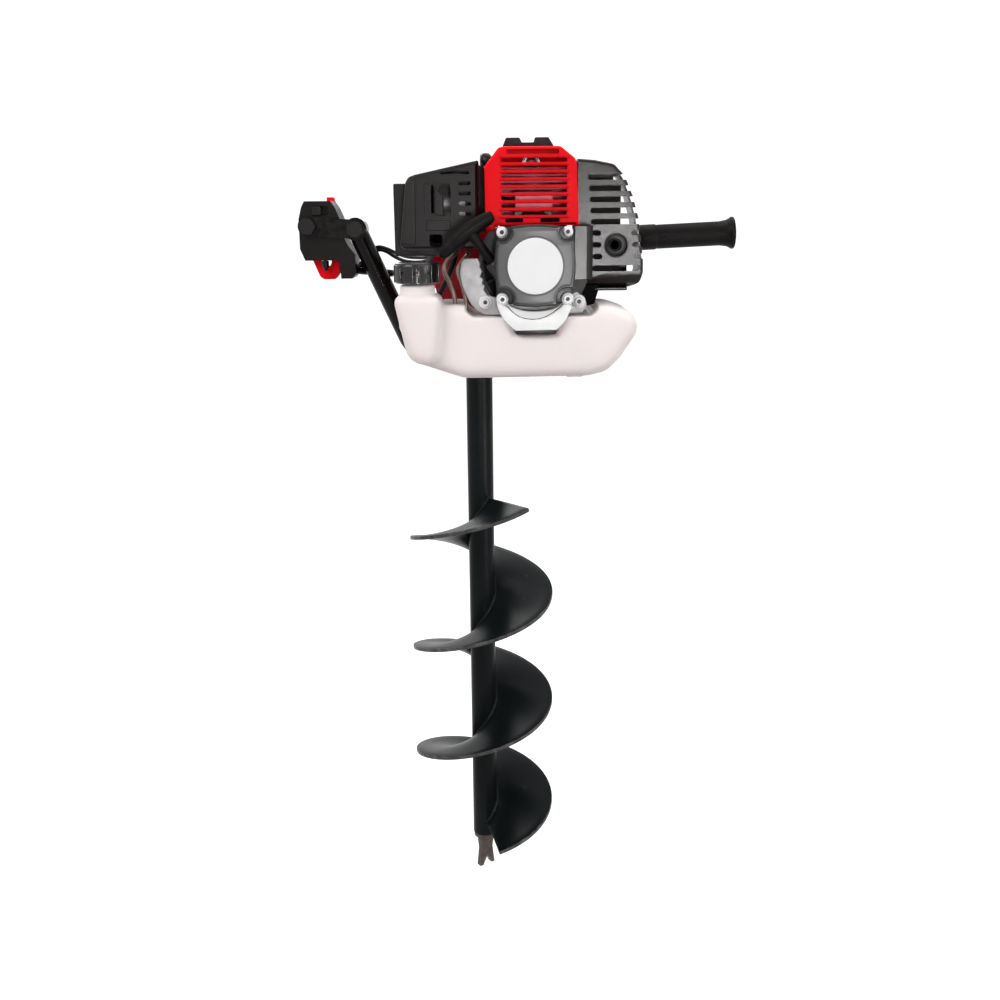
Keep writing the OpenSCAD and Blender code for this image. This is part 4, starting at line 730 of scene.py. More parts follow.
def makeTank():
    front, rear, over = tank["front"], tank["rear"], tank["over"]
    x0, x1, z0, z1 = tank["notch"]
    main = hullMesh(roundedDiscs(tank["discs"], front, rear, tank["edge"]))
    main = carved(main, [plateMesh([tank["shelf"]], front - over, rear + over),
                         plateMesh([tank["well"]], tank["wellFront"], rear + over),
                         boxMesh((x0, front - over, z0), (x1, tank["wellFront"] + 2, z1)),
                         plateMesh([roundLoop(tank["pocket"], 4)], front - over, front + tank["pocketDeep"])])
    column = hullMesh(roundedDiscs(tank["column"], tank["columnFront"], tank["columnRear"], tank["edge"]))
    r, low, high = tank["neckRadius"], tank["neckLow"], tank["neckTop"]
    neck = latheMesh([(0, low), (r, low), (r, high), (0, high)], (*tank["neck"], 0), count=72)
    feet = [boxMesh(a, b, tank["feetEdge"]) for a, b in tank["feet"]]
    holder = addObject("tank", carved(main, [column, neck] + feet, "UNION"))
    remesh = holder.modifiers.new("skin", "REMESH")
    remesh.mode = "VOXEL"
    remesh.voxel_size = tank["voxel"] * mm
    soften = holder.modifiers.new("soften", "SMOOTH")
    soften.factor = 0.5
    soften.iterations = tank["smooth"]
    mesh = meshOf(holder)
    mesh.polygons.foreach_set("use_smooth", [True] * len(mesh.polygons))
    makePiece("fuelTank", mesh, "tank_plastic", "machine", ["fuel_tank"])


makeTank()
print("tank made")


cap = {"centre": (-61.0, -212.0), "low": 832.2, "high": 854.2, "radius": 23.2, "ribs": 10, "ribWidth": 10.4,
       "bar": (15.0, 2.2)}


def makeCap():
    low, high, r = cap["low"], cap["high"], cap["radius"]
    profile = [(0, low), (r - 1.5, low), (r, low + 1), (r, low + 10.5), (r - 0.8, low + 11.2),
               (r - 0.8, low + 12), (r, low + 12.7), (r + 0.3, high - 3), (r - 0.3, high - 1.2),
               (r - 1.8, high - 0.2), (r - 4, high), (r - 6, high - 0.2), (r - 7, high - 1.2),
               (8, high - 1.2), (0, high - 1.0)]
    x, y = cap["centre"]
    lid = latheMesh(profile, (x, y, 0), count=96)
    rib = boxMesh((-1.4, -cap["ribWidth"] / 2, low + 1.2), (1.1, cap["ribWidth"] / 2, high - 2.6), 1.1, 4)
    ribs = repeated(ringTree, rib,
                    {"Count": cap["ribs"], "Radius": r * mm, "Material": finish["cap_plastic"]})
    ribs.transform(Matrix.Translation((x * mm, y * mm, 0)))
    a, b = cap["bar"]
    bar = boxMesh((x - a, y - b, high - 2), (x + a, y + b, high - 0.1), 0.8, 3)
    mesh = shaded(merged([lid, ribs, bar]), 40)
    makePiece("fuelCap", mesh, "cap_plastic", "tank_cap", ["fuel_cap"])


makeCap()
print("cap made")


# Starter

starter = {"x": 64.0, "z": 850.0, "width": 80.0, "post": 34.35, "bites": [8.4, 9.4, 11.6, 11.6],
           "corner": 8.0, "bend": 2.6, "front": -238.0, "ear": -222.0, "rear": -203.0, "bulge": 2.2,
           "border": 2.5, "edge": 1.6, "panel": 29.6, "label": 28.7, "guideAt": (19, -215, 854),
           "guideWay": (-0.6, 0, 0.8),
           "guide": [(0, -16), (8.5, -16), (8.5, -1.5), (7, 0), (4, 0), (3, -3), (0, -3)]}


def starterLoop(width, bites, bulge):
    # square with bulging sides and a round bite, or a round corner, at each screw
    half = width / 2
    post, corner, bend = starter["post"], starter["corner"], starter["bend"]
    opens = [math.acos((half - post) / bite) if bite else 0.0 for bite in bites]
    ends = [post - bite * math.sin(a) if bite else half - corner for bite, a in zip(bites, opens)]
    loop = []
    radii = []
    for quarter, bite in enumerate(bites):
        turn = math.radians(90 * quarter)
        first, last = -ends[quarter - 1], ends[quarter]
        points = []
        for i in range(13):
            share = -1 + i / 6
            points.append((half + bulge * (1 - share * share), first + (last - first) * i / 12))
        for i in range(1, 10):
            if bite:
                a = -opens[quarter] - (1.5 * math.pi - 2 * opens[quarter]) * i / 10
                points.append((post + bite * math.cos(a), post + bite * math.sin(a)))
            else:
                a = math.radians(9 * i)
                points.append((half - corner + corner * math.cos(a), half - corner + corner * math.sin(a)))
        radii += [bend] + [0.0] * 11 + [bend] + [0.0] * 9
        for px, pz in points:
            loop.append((starter["x"] + px * math.cos(turn) - pz * math.sin(turn),
                         starter["z"] + px * math.sin(turn) + pz * math.cos(turn)))
    return roundLoop(loop, radii, 4)


def makeStarter():
    x, z, front, rear = (starter[key] for key in ("x", "z", "front", "rear"))
    wide, bites, border, edge = (starter[key] for key in ("width", "bites", "border", "edge"))
    dome = plateMesh([starterLoop(wide, bites, starter["bulge"])], front + edge, rear - 6, edge, 4)
    flange = plateMesh([starterLoop(wide, [0, 0, 0, 0], 0)], starter["ear"], rear, edge, 3)
    guide = latheMesh(starter["guide"], starter["guideAt"], starter["guideWay"], 40)
    body = shaded(merged([dome, flange, guide]), 40)
    makePiece("starterCover", body, "starter_plastic", "machine", ["starter_cover"])
    inner = starterLoop(wide - 2 * border, [bite + border for bite in bites], starter["bulge"])
    plate = plateMesh([inner], front, front + 4, edge, 4)
    r = starter["panel"]
    ring = [(0, 0), (r + 1.2, 0), (r + 1.2, 0.5), (r + 0.6, 0.9), (r, 0.9), (r - 0.3, 0.5), (0, 0.5)]
    seat = latheMesh(ring, (x, front + 0.3, z), forward, 96)
    # the front face and the ring round the label take the lighter copy, a painted sheen
    makePiece("starterFace", shaded(merged([plate, seat]), 40), "starter_grey", "machine", [])
    r = starter["label"]
    disc = [(0, 0), (r, 0), (r, 0.5), (r - 0.4, 0.75), (0, 0.75)]
    label = latheMesh(disc, (x, front - 0.1, z), forward, 96)
    makePiece("starterDisc", shaded(label, 30), "label_white", "machine", [])


makeStarter()
print("starter made")


# Silver bracket under the starter, screws and the fan casting

bracket = {"outer": [(23.6, 812.3), (24.8, 806.2), (27.2, 800.6), (30.4, 795), (34.6, 790.1), (38.9, 786.2),
                     (43.5, 782.5), (86.8, 782.9), (88.8, 784.9), (94.4, 790.1), (98.1, 795.6),
                     (101.1, 802.4), (103.4, 809.7)],
           "inner": [(92.5, 811.6), (88.7, 807.3), (82.5, 804.7), (76.3, 803.4), (69.5, 802.7), (62.6, 802.4),
                     (57.1, 802.8), (51.5, 803.4), (44, 805.7), (39.1, 807.7), (35.4, 811.6)],
           "groove": [(94, 809.8), (89.9, 806), (83.8, 801.3), (76.3, 797.1), (68.9, 794.7), (61.4, 794),
                      (52.7, 795.1), (45.2, 798), (39.1, 802.9), (34.8, 807.8)],
           "front": -228.6, "rear": -222.0, "step": 3.0, "grooveShadow": 0.7, "grooveShadowOut": 0.2,
           "ears": [(29.65, 815.65), (98.35, 815.65)], "ear": 6.4, "earHole": 2.2, "earHigh": 7.0,
           "foot": ((44.0, -227.6, 778.4), (86.0, -204.2, 783.6))}


def makeBracket():
    front, rear = bracket["front"], bracket["rear"]
    r, hole, high = bracket["ear"], bracket["earHole"], bracket["earHigh"]
    mid = front + bracket["step"]
    parts = [plateMesh([bracket["outer"] + bracket["inner"]], mid, rear, 0.5, 2),
             plateMesh([bracket["outer"] + bracket["groove"]], front, mid + 1, 1.0, 4)]
    for x, z in bracket["ears"]:
        ear = [(hole, 0), (r, 0), (r, high - 1), (r - 0.8, high - 0.1), (r - 1.6, high), (hole, high)]
        parts.append(latheMesh(ear, (x, rear, z), forward, 40))
    makePiece("tankBracket", shaded(merged(parts)), "bright_steel", "machine", ["tank_bracket"])
    # dark strip along the groove line: painted shadow of the groove
    line = [(x, mid - bracket["grooveShadowOut"], z) for x, z in bracket["groove"]]
    grooveShadow = sweepMesh(smoothPath(line), bracket["grooveShadow"], 10)
    makePiece("bracketSeam", shaded(grooveShadow, 50), "dark_bolt", "machine", [])
    # painted shadow: the foot under the bracket is dark where the gap below the bracket lies in shade
    foot = boxMesh(*bracket["foot"], 0.8, 3)
    makePiece("bracketFoot", shaded(foot), "dark_bolt", "machine", [])


makeBracket()
print("bracket made")


screws = {"heads": [(29.65, -222.0, 884.35), (98.35, -222.0, 884.35), (29.65, -229.0, 815.65),
                    (98.35, -229.0, 815.65)],
          "washers": [(11.3, -203.0, 811.0), (112.0, -203.0, 811.0)], "head": 4.6, "washer": 7.2,
          "socket": 2.3}


def makeScrews():
    head, socket, wide = screws["head"], screws["socket"], screws["washer"]
    plain = [(socket, 0.6), (socket, 4.2), (head - 0.8, 4.2), (head, 3.4), (head, 0), (head + 1.2, 0),
             (head + 1.2, -1), (0, -1)]
    broad = [(0, 0), (wide, 0), (wide, 1.5), (wide - 0.5, 2), (head, 2), (head, 4.4), (head - 0.7, 5),
             (socket, 5), (socket, 2.6), (0, 2.6)]
    parts = []
    holes = []
    for places, profile, count, low, high in ((screws["heads"], plain, 36, 0.4, 0.8),
                                              (screws["washers"], broad, 40, 2.4, 2.9)):
        hole = [(0, low), (socket + 0.2, low), (socket + 0.2, high), (0, high)]
        parts += [latheMesh(profile, place, forward, count) for place in places]
        holes += [latheMesh(hole, place, forward, 24) for place in places]
    makePiece("engineScrews", shaded(merged(parts)), "bright_steel", "machine", ["engine_screws"])
    # dark discs at the bottom of the sockets: painted shadow inside the sockets
    makePiece("screwSockets", shaded(merged(holes)), "dark_bolt", "machine", [])


makeScrews()
print("screws made")


casting = {"flange": [(4, 857), (-10.5, 857), (-13.9, 854), (-15.6, 842), (-13.4, 828.7), (-8.7, 817.7),
                      (-4.2, 808.5), (2.2, 802), (10.2, 797.2), (25.7, 797), (88, 797), (116, 798.5),
                      (121.6, 808), (110, 822), (92, 812), (64, 806), (36, 812), (22, 816), (13.6, 818.7),
                      (9.9, 824.2), (11.2, 828), (8.2, 831), (9.9, 835.2), (6.2, 838), (8.7, 843.6),
                      (6.0, 847.5), (6.4, 852)],
           "corners": [2, 5, 6, 8, 8, 8, 8, 8, 5, 2, 2, 3, 5, 3, 2, 2, 2, 2] + [1] * 9, "front": -203.0,
           "rear": -174.0, "flangeDeep": 8.0, "bore": (3.0, 12.0), "centre": (64.0, 850.0),
           "ring": (56.5, 59.5), "hub": 12.5, "plate": 3.0, "rimHole": 41.0, "rimDeep": (0.4, 3.2),
           "cutTop": ((-60, -223, 886.6), (200, -154, 960)), "window": ((-60, -223, 815), (23, -199.6, 857))}


def makeCasting():
    front, rear, hub = casting["front"], casting["rear"], casting["hub"]
    x, z = casting["centre"]
    small, large = casting["ring"]
    near, far = (front + deep for deep in casting["rimDeep"])
    bore = plateMesh([discLoop(x, z, small, 96)], *(front + deep for deep in casting["bore"]))
    outline = roundLoop(casting["flange"], casting["corners"], 4)
    flange = carved(plateMesh([outline], front, front + casting["flangeDeep"], 0.9, 3), [bore])
    makePiece("fanCasting", shaded(flange), "cast_aluminium", "machine", ["fan_housing"])
    back = rear - casting["plate"]
    drum = latheMesh([(small, far), (large, far), (large, rear), (hub, rear), (hub, back), (small, back),
                      (small, far)], (x, 0, z), backward, 96)
    rim = plateMesh([discLoop(x, z, large, 96), discLoop(x, z, casting["rimHole"], 96)], near, far, 0.5, 2)
    drum = carved(welded(drum), [boxMesh(*casting["cutTop"])])
    rim = carved(rim, [boxMesh(*casting["cutTop"]), boxMesh(*casting["window"])])
    # the drum is toned near black, far darker than the flange of the same casting
    makePiece("fanDrum", shaded(merged([drum, rim])), "dark_aluminium", "machine", [])


makeCasting()
print("fan casting made")


# Shells over the engine

def shellMesh(shell, tools):
    # hollow moulding, open at the back, with its holes cut through
    points, radii, front, rear, wall, edge = (
        shell[key] for key in ("loop", "corners", "front", "rear", "wall", "edge"))
    outer = plateMesh([roundLoop(points, radii, 5)], front, rear + edge + 1, edge, 4)
    inner = roundLoop(insetLoop(points, wall), [max(r - wall, 0.6) for r in radii], 5)
    room = plateMesh([inner], front + wall, rear + 40)
    trim = boxMesh((-400, rear, 500), (400, rear + 60, 1200))
    return softened(carved(outer, [room, trim] + tools), shell["soft"])


def frontCut(loop, shell, deep=8.0):
    return plateMesh([loop], shell["front"] - 5, shell["front"] + deep)


redCover = {"loop": [(12.6, 885.4), (11.8, 951), (26.6, 970), (33, 971), (91.5, 971), (107, 958.8),
                     (108.8, 953), (111.6, 890.4), (23.4, 890.4), (23.0, 885.4)],
            "corners": [2, 6, 6, 3, 6, 5, 5, 1.5, 0.5, 0.5], "front": -206.0, "rear": -95.0, "wall": 2.4,
            "edge": 3.2, "soft": 0.5, "slots": 8, "slotX": (29.3, 98.6), "slotZ": 955.0, "step": 7.64,
            "slotHeight": 4.2, "slotCorner": 1.4, "topSlot": (35.0, 89.8, 963.2, 968.2), "topCorner": 1.6,
            "lastSlots": [(33.4, 52.4, 894.0, 898.4), (70.4, 91.0, 894.0, 898.4)],
            "ways": [((105, -162, 880), (120, -80, 945)), ((8, -154, 880), (20, -110, 935)),
                     ((15, -203.6, 880), (109, -93, 893.4))],
            "back": (2.4, 0.1), "backIn": 0.4, "backWindow": ((25, -104, 870), (103, -86, 952)),
            "backSlot": (54.2, 73.8, 930, 967.6), "liner": ((32, -197, 960.7), (92.8, -195.8, 969.7)),
            "slat": [(0, 0), (1.3, 0), (6.3, 7.6), (5.0, 7.6)], "slatX": (24, 104), "slats": 9,
            "slatStep": 7.0, "slatAt": (0, -93.6, 948.5),
            "sides": [((22.4, -97, 888), (24.4, -87, 955)), ((103.6, -97, 888), (105.6, -87, 955))],
            "bar": (2.0, 2.8), "barDeep": (-1.1, 1.2), "barUp": 0.3}


def makeRedCover():
    front, rear, step = redCover["front"], redCover["rear"], redCover["step"]
    x0, x1 = redCover["slotX"]
    slots = []
    for i in range(redCover["slots"]):
        z0 = redCover["slotZ"] - step * i
        slots.append((x0, x1, z0, z0 + redCover["slotHeight"]))
    slots += redCover["lastSlots"]
    tools = [frontCut(slotLoop(*slot, 4, redCover["slotCorner"]), redCover) for slot in slots]
    tools.append(frontCut(slotLoop(*redCover["topSlot"], 4, redCover["topCorner"]), redCover))
    # way for the muffler neck, the intake and the cylinder foot
    tools += [boxMesh(*way) for way in redCover["ways"]]
    shell = shellMesh(redCover, tools)
    outline = roundLoop(insetLoop(redCover["loop"], redCover["backIn"]), redCover["corners"], 5)
    back = plateMesh([outline], *(rear - deep for deep in redCover["back"]), 0.4, 2)
    back = carved(back, [boxMesh(*redCover["backWindow"]),
                         plateMesh([slotLoop(*redCover["backSlot"], 8)], rear - 9, rear + 9)])
    liner = boxMesh(*redCover["liner"], 0.3, 2)
    # louvres behind the fins
    slat = plateMesh([redCover["slat"]], *redCover["slatX"], 0.3, 2)
    slat.transform(quarterTurn @ Matrix.Scale(-1, 4, (0, 1, 0)))
    slat.flip_normals()
    red = finish["red_plastic"]
    slats = repeated(rowTree, slat, {
        "Count": redCover["slats"], "Step": (0, 0, -redCover["slatStep"] * mm), "Material": red})
    slats.transform(Matrix.Translation(Vector(redCover["slatAt"]) * mm))
    sides = [boxMesh(*side, 0.4, 2) for side in redCover["sides"]]
    # raised bars between the slots
    over, high = redCover["bar"]
    near, far = (front + deep for deep in redCover["barDeep"])
    bar = boxMesh((x0 - over, near, 0), (x1 + over, far, high), 0.9, 3)
    bars = repeated(rowTree, bar,
                    {"Count": redCover["slots"] + 1, "Step": (0, 0, -step * mm), "Material": red})
    top = redCover["slotZ"] + redCover["slotHeight"] + redCover["barUp"]
    bars.transform(Matrix.Translation((0, 0, top * mm)))
    mesh = shaded(merged([shell, back, liner, slats, bars] + sides), 32)
    evened(makePiece("cylinderCover", mesh, "red_plastic", "machine", ["cylinder_cover"]))


makeRedCover()
print("red cover made")


guard = {"loop": [(100, 823.5), (167, 822.5), (181, 827.5), (184.6, 839), (184.4, 852), (178.6, 897),
                  (171.5, 921), (163, 941), (151, 953.8), (130, 958), (100, 960.6)],
         "corners": [2, 10, 12, 6, 6, 8, 8, 12, 10, 8, 2], "front": -173.7, "rear": -93.0, "wall": 2.2,
         "edge": 3.4, "soft": 0.7, "left": ((50, -193.7, 800), (112.3, -13, 1000)), "past": 215.0,
         "slots": [(122.6, 937.3), (124.0, 925.7), (125.0, 914.1), (125.7, 902.4), (126.1, 890.7)],
         "slotHeight": 5.9, "slotDeep": 32.0, "smallDeep": 14.0,
         "small": [(127.6, 137.7, 170.6, 878.8), (128.2, 138.3, 171.8, 866.2), (128.9, 139.4, 173.0, 853.8)],
         "long": (128.4, 181.0, 840.8, 847.2), "hole": (154.4, 868.6, 12.9),
         "wedge": [(-9, 800), (13, 800), (13, 822.5), (3.4, 828), (0, 835), (-9, 835)],
         "band": [(0, 835.6), (2.4, 835.6), (6, 829.6), (14.5, 825), (14.5, 822.7), (3.4, 828)],
         "bandSoft": 0.6,
         "skirt": [(106.8, -205.8), (127.0, -205.8), (127.0, -173.0), (124.8, -173.0), (124.8, -203.6),
                   (106.8, -203.6)],
         "skirtCorners": [0.6, 8.0, 0.4, 0.4, 6.0, 0.6], "skirtZ": (834.0, 890.0),
         "lip": ((131, -168, 819.6), (168, -110, 823.5)), "baffleDeep": (3.0, 1.4),
         "baffle": [(113, 900), (158, 900), (158, 948), (150, 952), (130, 956), (113, 958)],
         "lowBaffle": ((113, -96, 824.5), (175, -94.4, 851))}


def makeGuard():
    front, rear, tall, past = (guard[key] for key in ("front", "rear", "slotHeight", "past"))
    x, z, r = guard["hole"]
    left = boxMesh(*guard["left"])
    tools = []
    for x0, z0 in guard["slots"]:
        tools.append(frontCut(slotLoop(x0, past, z0, z0 + tall), guard, guard["slotDeep"]))
    for x0, x1, x2, z0 in guard["small"]:
        tools.append(frontCut(slotLoop(x0, x1, z0, z0 + tall), guard))
        tools.append(frontCut(slotLoop(x2, past, z0, z0 + tall), guard, guard["smallDeep"]))
    tools.append(frontCut(slotLoop(*guard["long"]), guard))
    tools.append(frontCut(discLoop(x, z, r), guard))
    # lower front edge leans back, with a band along it
    lean, band = (plateMesh([[(front + deep, height) for deep, height in guard[key]]], -400, 400)
                  for key in ("wedge", "band"))
    lean.transform(quarterTurn)
    band.transform(quarterTurn)
    solid = plateMesh([roundLoop(guard["loop"], guard["corners"], 5)], front, rear, guard["edge"], 4)
    band = softened(carved(carved(solid, [band], "INTERSECT"), [left]), guard["bandSoft"])
    shell = shellMesh(guard, [left] + tools + [lean])
    collar = latheMesh([(r + 0.6, 1), (r + 0.6, -0.3), (r - 0.8, -0.2), (r - 1.2, 9), (r - 4, 9.5),
                        (7.2, 9.5), (6.6, 8.8), (5.8, 9.4), (5.8, 18), (r + 0.2, 18), (r + 0.6, 1)],
                       (x, front, z), backward, 56)
    skirt = plateMesh([roundLoop(guard["skirt"], guard["skirtCorners"], 8)], *guard["skirtZ"], 0.5, 2)
    skirt.transform(Matrix(((1, 0, 0, 0), (0, 0, 1, 0), (0, 1, 0, 0), (0, 0, 0, 1))))
    skirt.flip_normals()
    baffle = plateMesh([guard["baffle"]], *(rear - deep for deep in guard["baffleDeep"]), 0.4, 2)
    lowBaffle = boxMesh(*guard["lowBaffle"], 0.4, 2)
    lip = boxMesh(*guard["lip"], 1.6, 4)
    mesh = shaded(merged([shell, band, skirt, lip, baffle, lowBaffle]), 38)
    evened(makePiece("mufflerGuard", mesh, "guard_plastic", "machine", ["muffler_guard"]))
    makePiece("exhaustCollar", shaded(collar, 38), "cable_sheath", "machine", [])


makeGuard()
print("guard made")


filterCover = {"loop": [(-81.2, 870), (-77, 866.2), (0, 866.2), (4.6, 874), (5.2, 959), (-63.3, 944.6),
                        (-70.3, 942), (-73.6, 937)],
               "corners": [4, 4, 4, 4, 1.5, 4, 5, 5], "front": -175.0, "rear": -150.3, "wall": 2.4,
               "edge": 3.4, "soft": 0.6, "slots": 4, "slotX": (-16.6, -3.2), "slotZ": 933.2,
               "slotHeight": 4.3, "step": 10.75,
               "slit": [(-36, 944.4), (-20, 945.4), (-6, 944.2), (-4.4, 945.6), (-6, 947.8), (-20, 948.4),
                        (-36, 946.8)],
               "recess": [(-54, 902), (-25, 900), (-25, 935.5), (-54, 936)], "recessDeep": 1.5,
               "hole": [(-33, 900.8), (-25.4, 900.8), (-25.4, 934.4), (-38, 934.4), (-38, 926), (-33, 923)],
               "holeCorners": [1, 1, 4, 4, 3, 3], "gap": (-46.4, -43.2, 904, 934),
               "notch": (-49, -35, 868.6, 882),
               "back": [(-71, 931), (-42, 931), (-42, 921), (-10, 921), (-10, 884), (11.5, 884), (11.5, 949),
                        (3.6, 956.6), (-63, 942.6), (-69, 940)],
               "backDeep": (1.9, 0.3),
               "panel": [(-79.5, 872), (-64, 870), (-63, 941), (-69.5, 939.5), (-73, 935)],
               "flap": [(-42.4, 903), (-33.6, 901), (-33.6, 922), (-39, 928), (-42.4, 934)],
               "ledge": ((-52, -175.8, 886), (-26, -173.5, 897))}


def makeFilterCover():
    front, rear = filterCover["front"], filterCover["rear"]
    x0, x1 = filterCover["slotX"]
    tools = []
    for i in range(filterCover["slots"]):
        z0 = filterCover["slotZ"] - filterCover["step"] * i
        tools.append(frontCut(slotLoop(x0, x1, z0, z0 + filterCover["slotHeight"]), filterCover))
    tools.append(frontCut(roundLoop(filterCover["slit"], 0.8, 3), filterCover))
    tools.append(frontCut(roundLoop(filterCover["recess"], 1.5, 3), filterCover, filterCover["recessDeep"]))
    tools.append(frontCut(roundLoop(filterCover["hole"], filterCover["holeCorners"], 4), filterCover))
    tools.append(frontCut(slotLoop(*filterCover["gap"], 4, 1.0), filterCover))
    tools.append(frontCut(slotLoop(*filterCover["notch"], 4, 2.5), filterCover))
    shell = shellMesh(filterCover, tools)
    # raised panel at the left, flap over the opening and ledge below it
    panel = plateMesh([roundLoop(filterCover["panel"], 3, 4)], front - 1.2, front + 1.5, 1.1, 3)
    flap = plateMesh([roundLoop(filterCover["flap"], 1.5, 3)], front - 0.9, front + 1.8, 0.7, 3)
    ledge = boxMesh(*filterCover["ledge"], 0.7, 3)
    back = plateMesh([filterCover["back"]], *(rear - deep for deep in filterCover["backDeep"]), 0.3, 2)
    mesh = shaded(merged([shell, panel, flap, ledge, back]))
    evened(makePiece("filterCover", mesh, "filter_plastic", "machine", ["air_filter_cover"]))


makeFilterCover()
print("filter cover made")


# Pull handle and rope

pull = {"root": (19.0, -215.0, 854.0), "way": (-0.6, 0.0, 0.8), "bar": (0.8, 0.0, 0.6), "stem": 38.0,
        "radii": [5.2, 7.6, 9.3, 9.4, 8.0, 6.6], "length": 70.0, "shift": -5.0, "bow": 3.0, "low": -2.0,
        "flat": 0.9, "tip": 0.55, "ropeRadius": 1.8, "ropeSteps": 60, "ropeEnds": (-26.0, 30.0)}


def makePull():
    root, way, along = Vector(pull["root"]), Vector(pull["way"]), Vector(pull["bar"])
    radii, length, high = pull["radii"], pull["length"], pull["stem"]
    middle = root + way * (high + 1)
    path = []
    for i in range(41):
        share = -1 + i / 20
        lift = pull["bow"] * (1 - share * share) + pull["low"]
        path.append(middle + along * (share * length / 2 + pull["shift"]) + way * lift)

    def barRadius(t):
        at = min(int(t * (len(radii) - 1)), len(radii) - 2)
        share = t * (len(radii) - 1) - at
        share = share * share * (3 - 2 * share)
        body = radii[at] + (radii[at + 1] - radii[at]) * share
        end = min(min(t, 1 - t) * length / body, 1)
        return body * (pull["tip"] + (1 - pull["tip"]) * math.sqrt(1 - (1 - end) ** 2))

    bar = sweepMesh(path, barRadius, 28, pull["flat"])
    stem = latheMesh([(2.4, 0.6), (4.6, 0.6), (5.2, 2), (5.0, 20), (5.8, 29), (7.4, high + 1), (0, high + 3)],
                     root, way, 36)
    mesh = shaded(merged([bar, stem]), 45)
    makePiece("pullHandle", mesh, "grip_rubber", "pull_grip", ["pull_handle"])
    # starter rope, hidden at rest
    start, end = (root + way * reach for reach in pull["ropeEnds"])
    steps = pull["ropeSteps"]
    line = [start + (end - start) * (i / steps) for i in range(steps + 1)]
    rope = addObject("starterRope", shaded(sweepMesh(line, pull["ropeRadius"], 12), 60))
    rope.data.materials.append(finish["rope_fibre"])
    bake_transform(rope)


makePull()
print("pull handle made")


# Grips; the profiles of their far ends are measured back from the end

grips = {"rightStart": (206.0, 50.0, 870.96), "rightEnd": (328.0, 50.0, 876.17), "ribs": 34, "ribRing": 15.0,
         "rightNear": [(12.4, 0), (15.0, 0), (16.0, 1.2), (16.0, 20.5), (15.6, 21.5), (15.0, 22.5)],
         "rightFar": [(15.0, 22), (15.4, 18), (16.6, 10), (18.6, 6), (20.0, 4), (20.2, 2), (19.4, 0.6),
                      (17, 0), (12, 0.4), (11, 2), (0, 2)],
         "leftStart": (-215.0, 87.6, 889.0), "leftLength": 83.7, "rings": 15, "ringsFrom": 8.0,
         "ringsShort": 20.0, "leftNear": [(12.0, 0), (20.0, 0), (21.0, 1), (21.0, 3.4), (20, 4.4), (17.0, 6)],
         "ring": [(16.2, 0), (17.0, 1.2), (17.0, 3.2), (16.2, 4.4)],
         "leftFar": [(17.0, 8), (19.0, 5), (20.6, 3), (20.6, 1), (19, 0), (0, 0)]}


def makeGrips():
    start, end = Vector(grips["rightStart"]), Vector(grips["rightEnd"])
    way = (end - start).normalized()
    length = (end - start).length
    far = [(radius, length - back) for radius, back in grips["rightFar"]]
    body = latheMesh(grips["rightNear"] + far, start, way, 72)
    rib = boxMesh((-1.2, -0.8, 24), (0.16, 0.8, length - 20), 0.4, 2)
    ribs = repeated(ringTree, rib, {
        "Count": grips["ribs"], "Radius": grips["ribRing"] * mm, "Material": finish["grip_rubber"]})
    turn = Vector((0, 0, 1)).rotation_difference(way).to_matrix().to_4x4()
    ribs.transform(Matrix.Translation(start * mm) @ turn)
    right = shaded(merged([body, ribs]), 40)
    makePiece("rightGrip", right, "grip_rubber", "machine", ["right_grip"])
    length = grips["leftLength"]
    profile = list(grips["leftNear"])
    for i in range(grips["rings"]):
        base = grips["ringsFrom"] + i * (length - grips["ringsShort"]) / grips["rings"]
        profile += [(radius, base + height) for radius, height in grips["ring"]]
    profile += [(radius, length - back) for radius, back in grips["leftFar"]]
    left = shaded(latheMesh(profile, grips["leftStart"], backward, 72), 40)
    makePiece("leftGrip", left, "grip_rubber", "machine", ["left_grip"])


makeGrips()
print("grips made")


# Hoses along the routes of the solids, and cable and lead near theirs

